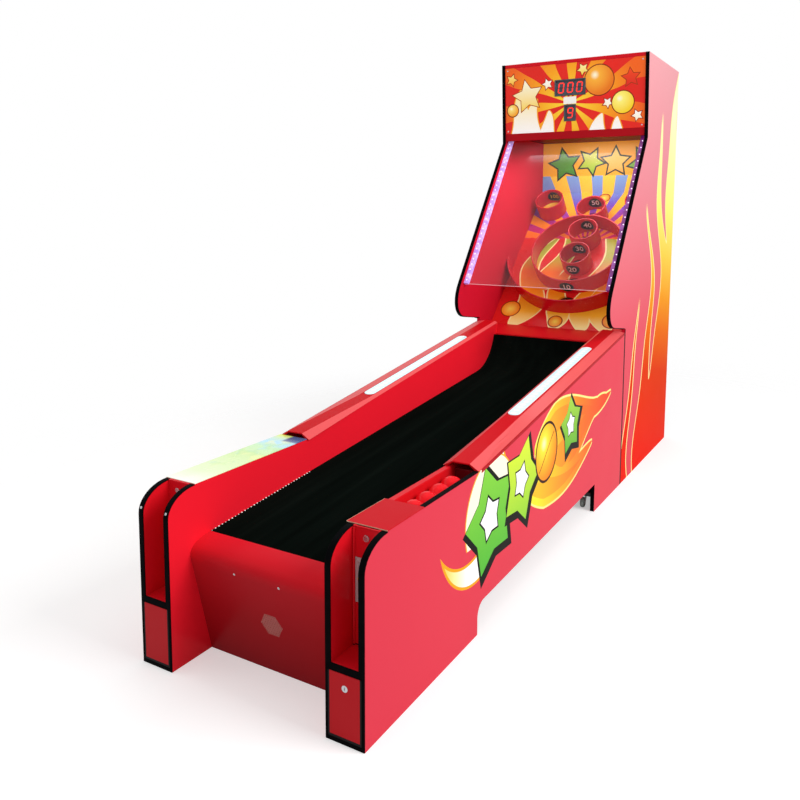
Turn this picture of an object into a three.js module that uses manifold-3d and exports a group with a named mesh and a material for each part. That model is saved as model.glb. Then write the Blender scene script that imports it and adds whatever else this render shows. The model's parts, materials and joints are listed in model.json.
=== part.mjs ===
// Alley ball-rolling machine: a long lane between two side boxes, and a tall target cabinet behind it.
// Millimetres, +X right, +Y back, +Z up. Y is counted from the front posts, and the last group centres it.
import * as THREE from 'three';
import Module from 'manifold-3d';
import { mergeVertices } from 'three/addons/utils/BufferGeometryUtils.js';

const wasm = await Module();
wasm.setup();

// Driving dimensions
const overallWidth = 780;
const overallLength = 3200;
const overallHeight = 2100;
const sideBoxWidth = 118;
const cabinetDepth = 944;
const sheetThickness = 18;
const fit = 0.3;
const overrun = 5;
const roundSteps = 24;
const bendSteps = 10;

// Faces that the pieces share
const moduleLength = overallLength - cabinetDepth;
const outerFace = overallWidth / 2;
const outerInside = outerFace - sheetThickness;
const laneFace = outerFace - sideBoxWidth;
const innerOutside = laneFace + sheetThickness;
const podMiddle = (outerInside + innerOutside) / 2;

// Side boxes of the lane
const podHeight = 527;
const postStraight = 452;
const postReach = 108;
const railStart = 640;
const railRise = 220;
const frontFootLength = 640;
const rearFootLength = 416;
const archHeight = 100;
const archRise = 25;
const archRadius = 45;
const trimThickness = 3;

// Castors and their board
const castorBoardBottom = 62;
const castorBoardThickness = 18;
const castorBoardFrontGap = 6;
const castorFromFoot = 40;
const castorTrail = 14;
const wheelRadius = 23;
const wheelWidth = 16;
const wheelLift = 1;
const wheelHubRecess = 3;
const wheelRimWidth = 6;
const axleRadius = 3;
const stemRadius = 5;
const stemLength = 12;
const runningGap = 0.4;
const crownRadius = 15;
const crownThickness = 3;
const forkThickness = 2.5;
const forkGap = 1.2;
const forkEyeRadius = 6;

// Posts: lower doors, niches and the coin door
const doorBorder = 8;
const doorFoot = 12;
const doorHeight = 175;
const bandHeight = 20;
const doorBackDepth = 15;
const doorBackDrop = 4;
const doorGap = 0.6;
const shelfThickness = 18;
const nicheDepth = 100;
const nichePanelThickness = 12;
const jambWidth = 7;
const jambDepth = 12;
const coinDoorThickness = 3;
const coinDoorTopGap = 4;
const knuckleRadius = 3.4;
const knuckleForward = 2;
const lockRadius = 7;
const lockFlangeRadius = 9;
const lockProud = 2.5;
const lockLength = 20;
const keySlotWidth = 1.6;
const keySlotLength = 8;
const keySlotDepth = 5;
const camLength = 16;
const camWidth = 8;
const camThickness = 2;
const coinLockDrop = 28;
const lowerLockDrop = 38;

// Coin mechanism
const mechWidth = 54;
const mechHeight = 120;
const mechTopDrop = 82;
const mechBorder = 4;
const mechFromHinge = 4.5;
const mechFaceThickness = 2.5;
const mechBodyDepth = 40;
const coinSlotWidth = 6;
const coinSlotHeight = 32;
const coinSlotDepth = 26;
const coinSlotAcross = 14;
const coinSlotRise = 36;
const returnCupWidth = 34;
const returnCupHeight = 34;
const returnCupDepth = 26;
const returnCupBase = 12;
const buttonRadius = 6;
const buttonLength = 14;
const buttonProud = 2;
const buttonAcross = 11;
const buttonRise = 6;
const buttonTravel = 3;

// Front panel and its speaker holes
const panelThickness = 12;
const panelFoot = 160;
const lipForward = 93;
const lipDrop = 8;
const lipTurn = 47;
const laneFrontPlace = 166;
const laneFrontHeight = 366;
const grilleHeight = 165;
const grilleHoleRadius = 2.6;
const grillePitch = 8.6;
const grilleRows = 9;
const grilleColumns = 9;
const grilleSides = 6;

// Lane and ramp
const laneRise = 166;
const rampFromSeam = 42;
const rampRun = 196;
const rampRise = 159;
const matThickness = 4;
const deckThickness = 15;

// Tops of the side boxes
const topPlateThickness = 2.5;
const rightPlateLength = 186;
const topPlateOverhang = 7;
const coverTaperShare = 0.32;
const coverThickness = 5;
const coverFoot = 16;
const coverFrontRise = 19;
const coverRearRise = 8;
const coverFrontOverhang = 10;
const coverRearOverhang = 3;
const coverEdgeSetback = 1.5;
const coverFrontChamfers = [32, 32];
const coverRearChamfers = [16, 48];
const lightStripWidth = 46;
const lightStripFromSeam = 306;
const lightStripThickness = 3;
const lightStripFromTaper = 20;

// Ball tray, gate and balls
const ballRadius = 38;
const ballCount = 4;
const ballSteps = 20;
const ballPitch = 77;
const ballFrontGap = 3;
const trayStart = 297;
const trayFloor = 445;
const trayRimDrop = 3;
const trayWall = 1.5;
const runwayFromSeam = 6;
const runwayRise = 115;
const runwayWallHeight = 60;
const gatePlace = 668;
const gatePinDrop = 10;
const gatePinRadius = 2.8;
const gateThickness = 3;
const gateWidth = 74;
const gateLength = 52;
const gateBay = 60;

// Target cabinet
const seamGap = 0.6;
const hookHeight = 765;
const hookSetback = 6;
const noseBottomReach = 176;
const noseBottomHeight = 788;
const noseTopReach = 231;
const noseTopHeight = 960;
const noseRoundness = 92;
const bendSetback = 299;
const bendDrop = 410;
const topSetback = 271;
const frontSetback = 4;
const topThickness = 18;
const rearThickness = 16;
const rearSetback = 6;
const rearPanelFoot = 40;
const rearDoorWidth = 460;
const rearDoorHeight = 800;
const rearDoorBottom = 220;
const rearDoorGap = 0.8;
const rearLockInset = 32;
const ventCount = 5;
const ventPitch = 26;
const ventLength = 220;
const ventHeight = 8;
const ventDrop = 150;

// Marquee, score display and the ceiling below them
const marqueeDrop = 361;
const marqueeThickness = 12;
const headerLipDrop = 400;
const headerThickness = 11;
const displayThickness = 10;
const displayProud = 3;
const displayBorder = 10;
const displayFrame = 7;
const displayRecess = 9;
const scoreWindowWidth = 165;
const scoreWindowHeight = 82;
const scoreWindowDrop = 181;
const ballWindowWidth = 63;
const ballWindowHeight = 84;
const ballWindowDrop = 310;
const displayMiddle = -13;

// Shield and its lit channels
const shieldFromEdge = 38;
const shieldThickness = 5;
const channelWidth = 24;
const channelDepth = 16;
const channelGroove = 5;

// Target board, rings and cups, measured up the board from its datum point
const boardSetback = 304;
const boardHeight = 883;
const boardRiseShare = 0.65;
const boardThickness = 12;
const boardBelow = 232;
const boardRearSpace = 50;
const boardSideGap = 0.7;
const backboardThickness = 12;
const wallHeight = 100;
const ringWall = 8;
const cupWall = 7;
const cupRadiusShare = 0.1038;
const rimRadius = 3;
const rimSteps = 5;
const ringCentreShare = 0.3254;
const bigRingShare = 0.3178;
const outerRingReach = 17;
const ringClearance = 1;
const ballHoleRadius = 47.5;
const centreCupShares = { cup_30: 0.2684, cup_40: 0.4988, cup_50: 0.7305 };
const cornerCupGap = 27;
const cornerCupShare = 0.8014;
const pocketHoleShares = [-0.076, 0.095];

// Apron and ball return
const apronThickness = 12;
const apronSideGap = 1;
const chuteThickness = 4;
const chuteWallHeight = 84;
const chuteRearSpace = 98;
const chuteRearHeight = 720;
const chuteFrontHeight = 585;
const chuteLeftSetback = 384;
const chuteFrontGap = 16;

// Small helpers
const sideX = (side, from, to) => (side > 0 ? [from, to] : [-to, -from]);
const line = (points) => points.map(([u, v]) => new THREE.Vector2(u, v));
const alongX = new THREE.Matrix4().makeBasis(
  new THREE.Vector3(0, 1, 0), new THREE.Vector3(0, 0, 1), new THREE.Vector3(1, 0, 0));
const alongY = new THREE.Matrix4().makeBasis(
  new THREE.Vector3(1, 0, 0), new THREE.Vector3(0, 0, 1), new THREE.Vector3(0, -1, 0));

function prism(points, depth, holes = []) {
  const shape = new THREE.Shape(line(points));
  holes.forEach((hole) => shape.holes.push(new THREE.Path(line(hole))));
  return new THREE.ExtrudeGeometry(shape, { depth, bevelEnabled: false, curveSegments: bendSteps });
}

// An outline in Y and Z, run from one X to another
function across([fromX, toX], points) {
  return prism(points, toX - fromX).applyMatrix4(alongX).translate(fromX, 0, 0);
}

// An outline in X and Z, run from one Y to another
function backwards([fromY, toY], points, holes = []) {
  return prism(points, toY - fromY, holes).applyMatrix4(alongY).translate(0, toY, 0);
}

// An outline in X and Y, run from one Z to another
function upwards([fromZ, toZ], points, holes = []) {
  return prism(points, toZ - fromZ, holes).translate(0, 0, fromZ);
}

function block([fromX, toX], [fromY, toY], [fromZ, toZ]) {
  const geometry = new THREE.BoxGeometry(toX - fromX, toY - fromY, toZ - fromZ);
  return geometry.translate((fromX + toX) / 2, (fromY + toY) / 2, (fromZ + toZ) / 2);
}

function rectangle([fromU, toU], [fromV, toV]) {
  return [[fromU, fromV], [toU, fromV], [toU, toV], [fromU, toV]];
}

function circle([centreU, centreV], radius, steps = roundSteps) {
  return arc([centreU, centreV], [radius, radius], [0, 2 * Math.PI], steps).slice(0, steps);
}

function arc([centreU, centreV], [radiusU, radiusV], [fromAngle, toAngle], steps = bendSteps) {
  return Array.from({ length: steps + 1 }, (_, i) => {
    const angle = fromAngle + (toAngle - fromAngle) * i / steps;
    return [centreU + radiusU * Math.cos(angle), centreV + radiusV * Math.sin(angle)];
  });
}

// A line moved sideways by one distance, to the right of its direction
function inset(points, distance) {
  const normals = points.slice(1).map(([u, v], i) => {
    const direction = new THREE.Vector2(u - points[i][0], v - points[i][1]).normalize();
    return new THREE.Vector2(direction.y, -direction.x);
  });
  return points.map(([u, v], i) => {
    const before = normals[Math.max(i - 1, 0)];
    const after = normals[Math.min(i, normals.length - 1)];
    const middle = before.clone().add(after).normalize();
    const reach = distance / middle.dot(before);
    return [u + middle.x * reach, v + middle.y * reach];
  });
}

// The band between two copies of a line, each moved by its own distance
function band(points, near, far) {
  return [...inset(points, near), ...inset(points, far).reverse()];
}

function toSolid(geometry) {
  const bare = geometry.clone();
  bare.deleteAttribute('normal');
  bare.deleteAttribute('uv');
  const merged = mergeVertices(bare, fit / roundSteps);
  return new wasm.Manifold(new wasm.Mesh({
    numProp: 3,
    vertProperties: Float32Array.from(merged.attributes.position.array),
    triVerts: Uint32Array.from(merged.index.array),
  }));
}

function toGeometry(solid) {
  const mesh = solid.getMesh();
  const geometry = new THREE.BufferGeometry();
  geometry.setAttribute('position', new THREE.BufferAttribute(mesh.vertProperties, 3));
  geometry.setIndex(new THREE.BufferAttribute(mesh.triVerts, 1));
  const flat = geometry.toNonIndexed();
  flat.computeVertexNormals();
  return flat;
}

function join(...geometries) {
  return toGeometry(geometries.map(toSolid).reduce((all, next) => all.add(next)));
}

function cut(geometry, ...tools) {
  return toGeometry(tools.map(toSolid).reduce((rest, tool) => rest.subtract(tool), toSolid(geometry)));
}

// A skin through cross sections in X and Z, each at its own Y, closed at both ends
function loft(sections) {
  const turned = THREE.ShapeUtils.isClockWise(line(sections[0].outline));
  const rings = sections.map(({ place, outline }) => {
    const ordered = turned ? [...outline].reverse() : outline;
    return ordered.map(([x, z]) => [x, place, z]);
  });
  const cap = THREE.ShapeUtils.triangulateShape(line(rings[0].map(([x, , z]) => [x, z])), []);
  const points = [];
  cap.forEach((face) => face.forEach((k) => points.push(rings[0][k])));
  cap.forEach((face) => [...face].reverse().forEach((k) => points.push(rings.at(-1)[k])));
  rings.slice(1).forEach((ring, i) => ring.forEach((corner, j) => {
    const next = (j + 1) % ring.length;
    points.push(rings[i][j], ring[next], rings[i][next], rings[i][j], corner, ring[next]);
  }));
  const geometry = new THREE.BufferGeometry();
  geometry.setAttribute('position', new THREE.Float32BufferAttribute(points.flat(), 3));
  geometry.computeVertexNormals();
  return geometry;
}

function rodAcross([fromX, toX], radius, place, height, steps = roundSteps) {
  const rod = new THREE.CylinderGeometry(radius, radius, toX - fromX, steps);
  return rod.rotateZ(Math.PI / 2).translate((fromX + toX) / 2, place, height);
}

function rodBack([fromY, toY], radius, x, height, steps = roundSteps) {
  const rod = new THREE.CylinderGeometry(radius, radius, toY - fromY, steps);
  return rod.translate(x, (fromY + toY) / 2, height);
}

function rodUp([fromZ, toZ], radius, x, place, steps = roundSteps) {
  const rod = new THREE.CylinderGeometry(radius, radius, toZ - fromZ, steps);
  return rod.rotateX(Math.PI / 2).translate(x, place, (fromZ + toZ) / 2);
}

// Finishes
const finish = (color, roughness, metalness = 0) =>
  new THREE.MeshStandardMaterial({ color, roughness, metalness });
const redGloss = () => finish(0xdd1f2b, 0.3);
const blackEdge = () => finish(0x0c0c0d, 0.45);
const blackMat = () => finish(0x121413, 0.95);
const steel = () => finish(0xb9bcc0, 0.35, 0.9);
const darkSteel = () => finish(0x3a3c40, 0.5, 0.8);
const paleGlow = () => finish(0xe6f7f7, 0.35);
const ballRed = () => finish(0xd0141c, 0.35);
const plainBoard = () => finish(0xb58a5a, 0.8);

const machine = new THREE.Group();
machine.position.y = -overallLength / 2;

function piece(name, geometry, material, group = machine) {
  const mesh = new THREE.Mesh(geometry, material);
  mesh.name = name;
  group.add(mesh);
  return mesh;
}

function turnedGroup(place, height, angle) {
  const group = new THREE.Group();
  group.position.set(0, place, height);
  group.rotation.x = angle;
  machine.add(group);
  return group;
}

// Side sheets of the lane
const frontEdge = [
  [0, 0],
  ...arc([postReach, postStraight], [postReach, podHeight - postStraight], [Math.PI, Math.PI / 2]),
];
const railSlope = railRise / (moduleLength - railStart);
const railAt = (place) => podHeight + Math.max(place - railStart, 0) * railSlope;

const rearFootStart = moduleLength - rearFootLength;

function sideSheet(rearFootHeight) {
  const sheetEdge = inset(frontEdge, trimThickness + fit);
  return [
    ...sheetEdge,
    [postReach + fit, sheetEdge.at(-1)[1]],
    [postReach + fit, podHeight],
    [railStart, podHeight],
    [moduleLength, railAt(moduleLength)],
    [moduleLength, rearFootHeight],
    [rearFootStart, rearFootHeight],
    [rearFootStart, archHeight + archRise],
    ...arc([frontFootLength + archRadius, archHeight - archRadius], [archRadius, archRadius],
      [Math.PI / 2, Math.PI]),
    [frontFootLength, 0],
  ];
}

const castorBoardTop = castorBoardBottom + castorBoardThickness;
for (const [hand, side] of [['left', -1], ['right', 1]]) {
  piece(`${hand}_outer_side`, across(sideX(side, outerInside, outerFace), sideSheet(0)), redGloss());
  piece(`${hand}_inner_side`,
    across(sideX(side, laneFace, innerOutside), sideSheet(castorBoardTop + fit)), redGloss());
}

// Black edging of each post, with the frame round the lower door
const doorTop = doorFoot + doorHeight;
const bandTop = doorTop + bandHeight;

function postTrim(side) {
  const strip = band(frontEdge, 0, trimThickness);
  const frame = block(sideX(side, laneFace, outerFace), [0, trimThickness], [0, bandTop]);
  const whole = join(
    across(sideX(side, outerInside, outerFace), strip),
    across(sideX(side, laneFace, innerOutside), strip),
    frame,
  );
  const window = block(sideX(side, laneFace + doorBorder, outerFace - doorBorder),
    [-overrun, trimThickness + overrun], [doorFoot, doorTop]);
  return cut(whole, window);
}
piece('left_post_trim', postTrim(-1), blackEdge());
piece('right_post_trim', postTrim(1), blackEdge());

// Lower door: a face in the black frame, on a block that fills the space between the sheets
function lowerDoor(side) {
  const face = block(
    sideX(side, laneFace + doorBorder + doorGap, outerFace - doorBorder - doorGap),
    [0, trimThickness], [doorFoot + doorGap, doorTop - doorGap]);
  const back = block(sideX(side, innerOutside + doorGap, outerInside - doorGap),
    [trimThickness / 2, trimThickness + doorBackDepth], [doorFoot + doorGap, doorTop - doorBackDrop]);
  return join(face, back);
}
const lowerLockHeight = doorTop - lowerLockDrop;
const lockBore = (middleX, height, depth) =>
  rodBack([-overrun, depth + overrun], lockRadius + fit, middleX, height);
piece('left_lower_panel', lowerDoor(-1), redGloss());
const lockSeatDepth = lockProud + fit;
piece('right_lower_door', cut(
  lowerDoor(1),
  lockBore(podMiddle, lowerLockHeight, trimThickness + doorBackDepth),
  rodBack([-overrun, lockSeatDepth], lockFlangeRadius + fit, podMiddle, lowerLockHeight),
), redGloss());

// Cam lock: barrel, flange, key slot and cam, made round a Y axis with its flange seated at Y = 0
function camLock(panelDepth) {
  const barrelEnd = panelDepth + lockLength / 2;
  const whole = join(
    rodBack([-lockProud - fit, -fit], lockFlangeRadius, 0, 0),
    rodBack([-fit * 2, barrelEnd], lockRadius, 0, 0),
    block([-camWidth / 2, camWidth / 2], [barrelEnd - camThickness, barrelEnd], [0, camLength]),
  );
  const slot = block([-keySlotWidth / 2, keySlotWidth / 2], [-lockProud - overrun, keySlotDepth - lockProud],
    [-keySlotLength / 2, keySlotLength / 2]);
  return cut(whole, slot);
}
piece('lower_door_lock', camLock(trimThickness + doorBackDepth), steel())
  .position.set(podMiddle, lockSeatDepth + fit, lowerLockHeight);

// Niches: a shelf with its back panel on the left, and with the door jambs on the right
const shelfFront = trimThickness + fit;
const podSpan = (side) => sideX(side, innerOutside + fit, outerInside - fit);
piece('left_niche_liner', across(podSpan(-1), [
  [shelfFront, bandTop - shelfThickness],
  [nicheDepth + nichePanelThickness, bandTop - shelfThickness],
  [nicheDepth + nichePanelThickness, podHeight],
  [nicheDepth, podHeight],
  [nicheDepth, bandTop],
  [shelfFront, bandTop],
]), redGloss());

const jambFront = nicheDepth + coinDoorThickness + fit;
const jambSpan = [jambFront, jambFront + jambDepth];
const jambRise = [bandTop - shelfThickness / 2, podHeight];
piece('right_niche_frame', join(
  block(podSpan(1), [shelfFront, jambSpan[1]], [bandTop - shelfThickness, bandTop]),
  block([innerOutside + fit, innerOutside + jambWidth], jambSpan, jambRise),
  block([outerInside - jambWidth, outerInside - fit], jambSpan, jambRise),
), redGloss());

// Coin door on its hinge knuckle, with the mechanism through it
const coinHingeX = innerOutside + knuckleRadius + doorGap;
const coinHingePlace = nicheDepth - knuckleForward;
const coinDoorRise = [bandTop + doorGap, podHeight - coinDoorTopGap];
const mechX = [coinHingeX + mechFromHinge, coinHingeX + mechFromHinge + mechWidth];
const mechTop = podHeight - mechTopDrop;
const mechBottom = mechTop - mechHeight;
const mechBodyX = [mechX[0] + mechBorder, mechX[1] - mechBorder];
const mechBodyRise = [mechBottom + mechBorder, mechTop - mechBorder];
const mechMiddle = (mechX[0] + mechX[1]) / 2;
const mechMiddleHeight = (mechTop + mechBottom) / 2;
const coinLockHeight = podHeight - coinLockDrop;

const coinDoorBlank = join(
  block([coinHingeX, outerInside - doorGap * 2], [nicheDepth, nicheDepth + coinDoorThickness],
    coinDoorRise),
  rodUp(coinDoorRise, knuckleRadius, coinHingeX, coinHingePlace),
);
piece('coin_door', cut(
  coinDoorBlank,
  block([mechBodyX[0] - fit, mechBodyX[1] + fit], [nicheDepth - overrun, nicheDepth + overrun],
    [mechBodyRise[0] - fit, mechBodyRise[1] + fit]),
  lockBore(podMiddle, coinLockHeight, nicheDepth + coinDoorThickness),
), redGloss());
piece('coin_door_lock', camLock(coinDoorThickness), steel())
  .position.set(podMiddle, nicheDepth, coinLockHeight);

const mechFront = nicheDepth - fit - mechFaceThickness;
const buttonX = mechMiddle - buttonAcross;
const buttonHeight = mechMiddleHeight + buttonRise;
const coinSlotX = mechMiddle + coinSlotAcross;
const coinSlotBottom = mechMiddleHeight + coinSlotRise - coinSlotHeight / 2;
piece('coin_mechanism', cut(
  join(
    block(mechX, [mechFront, nicheDepth - fit], [mechBottom, mechTop]),
    block(mechBodyX, [mechFront + fit, mechFront + mechBodyDepth], mechBodyRise),
  ),
  block([coinSlotX - coinSlotWidth / 2, coinSlotX + coinSlotWidth / 2],
    [mechFront - overrun, mechFront + coinSlotDepth], [coinSlotBottom, coinSlotBottom + coinSlotHeight]),
  block([mechMiddle - returnCupWidth / 2, mechMiddle + returnCupWidth / 2],
    [mechFront - overrun, mechFront + returnCupDepth],
    [mechBottom + returnCupBase, mechBottom + returnCupBase + returnCupHeight]),
  rodBack([mechFront - overrun, mechFront + buttonLength + buttonTravel], buttonRadius + fit,
    buttonX, buttonHeight),
), steel());
piece('coin_reject_button', rodBack([mechFront - buttonProud - buttonTravel, mechFront + buttonLength - fit],
  buttonRadius, buttonX, buttonHeight), finish(0xf2c21a, 0.35));

// Front panel: one leaning board with a rolled lip at the lane's edge, and a drilled speaker patch
const laneStart = [laneFrontPlace, laneFrontHeight];
const lipCorner = [laneFrontPlace - lipForward, laneFrontHeight - lipDrop];
const panelLean = new THREE.Vector2(panelFoot - lipCorner[0], -lipCorner[1]).normalize();
const lipStart = [lipCorner[0] + panelLean.x * lipTurn, lipCorner[1] + panelLean.y * lipTurn];
const lip = new THREE.QuadraticBezierCurve(
  new THREE.Vector2(...lipStart), new THREE.Vector2(...lipCorner), new THREE.Vector2(...laneStart));
const panelLine = [[panelFoot, 0], ...lip.getPoints(bendSteps).map((point) => [point.x, point.y])];
const laneSpan = [-laneFace + fit, laneFace - fit];

function grilleHoles() {
  const lean = Math.atan2(panelLean.x, -panelLean.y);
  const middle = panelFoot - grilleHeight * Math.tan(lean);
  const holes = [];
  for (let row = 0; row < grilleRows; row++) {
    const fromMiddle = row - (grilleRows - 1) / 2;
    const columns = grilleColumns - Math.abs(fromMiddle);
    for (let column = 0; column < columns; column++) {
      const x = (column - (columns - 1) / 2) * grillePitch;
      const rise = fromMiddle * grillePitch * Math.sin(Math.PI / 3);
      const hole = rodBack([-panelThickness - overrun, panelThickness + overrun], grilleHoleRadius,
        x, rise, grilleSides);
      holes.push(hole.rotateX(lean).translate(0, middle, grilleHeight));
    }
  }
  return holes;
}
piece('front_panel', cut(across(laneSpan, band(panelLine, 0, panelThickness)), ...grilleHoles()),
  redGloss());

// Lane: board and mat, straight and then turned up in the ramp
const rampEnd = [moduleLength - rampFromSeam, laneFrontHeight + laneRise + rampRise];
const rampFoot = [rampEnd[0] - rampRun, rampEnd[1] - rampRise];

function rampCurve() {
  const startAngle = Math.atan2(laneRise, rampFoot[0] - laneFrontPlace);
  const chordAngle = Math.atan2(rampRise, rampRun);
  const turn = chordAngle - startAngle;
  const radius = Math.hypot(rampRun, rampRise) / 2 / Math.sin(turn);
  const centre = [rampFoot[0] - radius * Math.sin(startAngle), rampFoot[1] + radius * Math.cos(startAngle)];
  const from = startAngle - Math.PI / 2;
  return arc(centre, [radius, radius], [from, from + 2 * turn]);
}
const laneLine = [[laneFrontPlace + fit, laneFrontHeight], ...rampCurve()];
const matTop = matThickness + fit;
piece('lane_mat', across(laneSpan, band(laneLine, 0, matThickness)), blackMat());
piece('lane_deck', across(laneSpan, band(laneLine, matTop, matTop + deckThickness)), plainBoard());

// Flat tops of the side boxes, in front of the rail covers
const coverStart = railStart;
const lightStripEnd = moduleLength - lightStripFromSeam;
const coverTaperEnd = coverStart + (lightStripEnd - coverStart) * coverTaperShare;
const plateRise = [podHeight + fit, podHeight + fit + topPlateThickness];
const plateStart = postReach + fit;
piece('left_top_plate',
  block([-outerFace, -laneFace], [plateStart, coverStart - fit], plateRise), paleGlow());
piece('right_top_plate',
  block([laneFace - topPlateOverhang, outerFace], [plateStart, plateStart + rightPlateLength], plateRise),
  redGloss());

// Rail covers: chamfered channels that start tall and taper down to the rail
function coverSection(side, place, rise, overhang, [innerChamfer, outerChamfer]) {
  const base = railAt(place) + fit;
  const inner = laneFace - overhang;
  const outer = outerFace - coverEdgeSetback;
  const outline = [
    [inner, base],
    [inner + coverFoot, base],
    [inner + innerChamfer + coverThickness / 2, base + rise - coverThickness],
    [outer - outerChamfer - coverThickness / 2, base + rise - coverThickness],
    [outer - coverFoot, base],
    [outer, base],
    [outer - outerChamfer, base + rise],
    [inner + innerChamfer, base + rise],
  ];
  return { place, outline: outline.map(([x, z]) => [side * x, z]) };
}

function railCover(side) {
  return loft([
    coverSection(side, coverStart, coverFrontRise, coverFrontOverhang, coverFrontChamfers),
    coverSection(side, coverTaperEnd, coverRearRise, coverRearOverhang, coverRearChamfers),
    coverSection(side, moduleLength - trimThickness, coverRearRise, coverRearOverhang, coverRearChamfers),
  ]);
}
piece('left_rail_cover', railCover(-1), redGloss());
piece('right_rail_cover', railCover(1), redGloss());

// Light strips on the rail covers
const stripX = laneFace - coverRearOverhang + coverRearChamfers[0] + lightStripWidth / 2 + coverEdgeSetback;
const lightStripStart = coverTaperEnd + lightStripFromTaper;
const lightStripLength = lightStripEnd - lightStripStart;
const stripEnds = (side) => {
  const half = lightStripWidth / 2;
  return [
    ...arc([side * stripX, half], [half, half], [Math.PI, 2 * Math.PI]),
    ...arc([side * stripX, lightStripLength - half], [half, half], [0, Math.PI]),
  ];
};
const railTop = turnedGroup(lightStripStart, railAt(lightStripStart) + fit + coverRearRise,
  Math.atan(railSlope));
for (const [hand, side] of [['left', -1], ['right', 1]]) {
  piece(`${hand}_light_strip`, upwards([fit, fit + lightStripThickness], stripEnds(side)), paleGlow(),
    railTop);
}

// Ball tray in the right box, open beside the player and running back under the rail cover
const trayRim = podHeight - trayRimDrop;
const runwayEnd = moduleLength - runwayFromSeam;
const gateHeight = trayRim - gatePinDrop;
const runwayFloor = trayFloor + runwayRise;
const trayOutside = [
  [trayStart, trayFloor],
  [coverStart, trayFloor],
  [runwayEnd, runwayFloor],
  [runwayEnd, runwayFloor + runwayWallHeight],
  [gatePlace + gateBay, trayRim],
  [trayStart, trayRim],
];
const trayInside = [
  [trayStart + trayWall, trayFloor + trayWall],
  [coverStart, trayFloor + trayWall],
  [runwayEnd + overrun, runwayFloor + trayWall],
  [runwayEnd + overrun, runwayFloor + podHeight],
  [trayStart + trayWall, runwayFloor + podHeight],
];
const traySpan = [innerOutside + fit, outerInside - fit];
piece('ball_tray', cut(
  across(traySpan, trayOutside),
  across([traySpan[0] + trayWall, traySpan[1] - trayWall], trayInside),
  rodAcross([traySpan[0] - overrun, traySpan[1] + overrun], gatePinRadius + runningGap, gatePlace, gateHeight),
), redGloss());

piece('ball_gate', join(
  rodAcross(traySpan, gatePinRadius, gatePlace, gateHeight),
  block([podMiddle - gateWidth / 2, podMiddle + gateWidth / 2],
    [gatePlace - gateThickness / 2, gatePlace + gateThickness / 2], [gateHeight - gateLength, gateHeight]),
), steel());

for (let k = 0; k < ballCount; k++) {
  const ball = new THREE.SphereGeometry(ballRadius, ballSteps, ballSteps / 2).rotateX(Math.PI / 2);
  piece(`ball_${k + 1}`, ball, ballRed()).position.set(
    podMiddle,
    trayStart + trayWall + ballFrontGap + ballRadius + k * ballPitch,
    trayFloor + trayWall + ballRadius + fit,
  );
}

// Castors under a board between the outer sheets
const castorPlace = rearFootStart + castorFromFoot;
const stemHole = (side) => rodUp([castorBoardBottom - overrun, castorBoardBottom + stemLength + fit],
  stemRadius + runningGap, side * podMiddle, castorPlace);
piece('castor_board', cut(
  block([-outerInside + fit, outerInside - fit],
    [rearFootStart + castorBoardFrontGap, moduleLength - castorBoardFrontGap],
    [castorBoardBottom, castorBoardTop]),
  stemHole(-1), stemHole(1),
), plainBoard());

const axleHeight = wheelRadius + wheelLift;
const crownTop = castorBoardBottom - fit;
const crownBottom = crownTop - crownThickness;

function castorFork() {
  const eye = arc([-castorTrail, axleHeight], [forkEyeRadius, forkEyeRadius], [Math.PI, 2 * Math.PI]);
  const leg = [
    ...eye,
    [crownRadius / 2, crownBottom + crownThickness / 2],
    [-crownRadius, crownBottom + crownThickness / 2],
  ];
  const legInside = wheelWidth / 2 + forkGap;
  const legOutside = legInside + forkThickness;
  return join(
    rodUp([crownBottom, crownTop], crownRadius + forkThickness, 0, 0),
    rodUp([crownBottom, castorBoardBottom + stemLength], stemRadius, 0, 0),
    across([-legOutside, -legInside], leg),
    across([legInside, legOutside], leg),
    rodAcross([-legOutside, legOutside], axleRadius, -castorTrail, axleHeight),
  );
}

function castorWheel() {
  const bore = axleRadius + runningGap;
  const half = wheelWidth / 2;
  const rim = wheelRadius - wheelRimWidth;
  const profile = [
    [bore, -half],
    [bore + wheelHubRecess, -half],
    [bore + wheelHubRecess, -half + wheelHubRecess],
    [rim, -half + wheelHubRecess],
    [rim, -half],
    [wheelRadius - wheelHubRecess, -half],
    [wheelRadius, -half + wheelHubRecess],
    [wheelRadius, half - wheelHubRecess],
    [wheelRadius - wheelHubRecess, half],
    [rim, half],
    [rim, half - wheelHubRecess],
    [bore + wheelHubRecess, half - wheelHubRecess],
    [bore + wheelHubRecess, half],
    [bore, half],
    [bore, -half],
  ];
  return new THREE.LatheGeometry(line(profile), roundSteps).rotateZ(-Math.PI / 2);
}

for (const [hand, side] of [['left', -1], ['right', 1]]) {
  piece(`${hand}_castor_fork`, castorFork(), darkSteel()).position.set(side * podMiddle, castorPlace, 0);
  piece(`${hand}_castor_wheel`, castorWheel(), finish(0x55575b, 0.7))
    .position.set(side * podMiddle, castorPlace - castorTrail, axleHeight);
}

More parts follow.
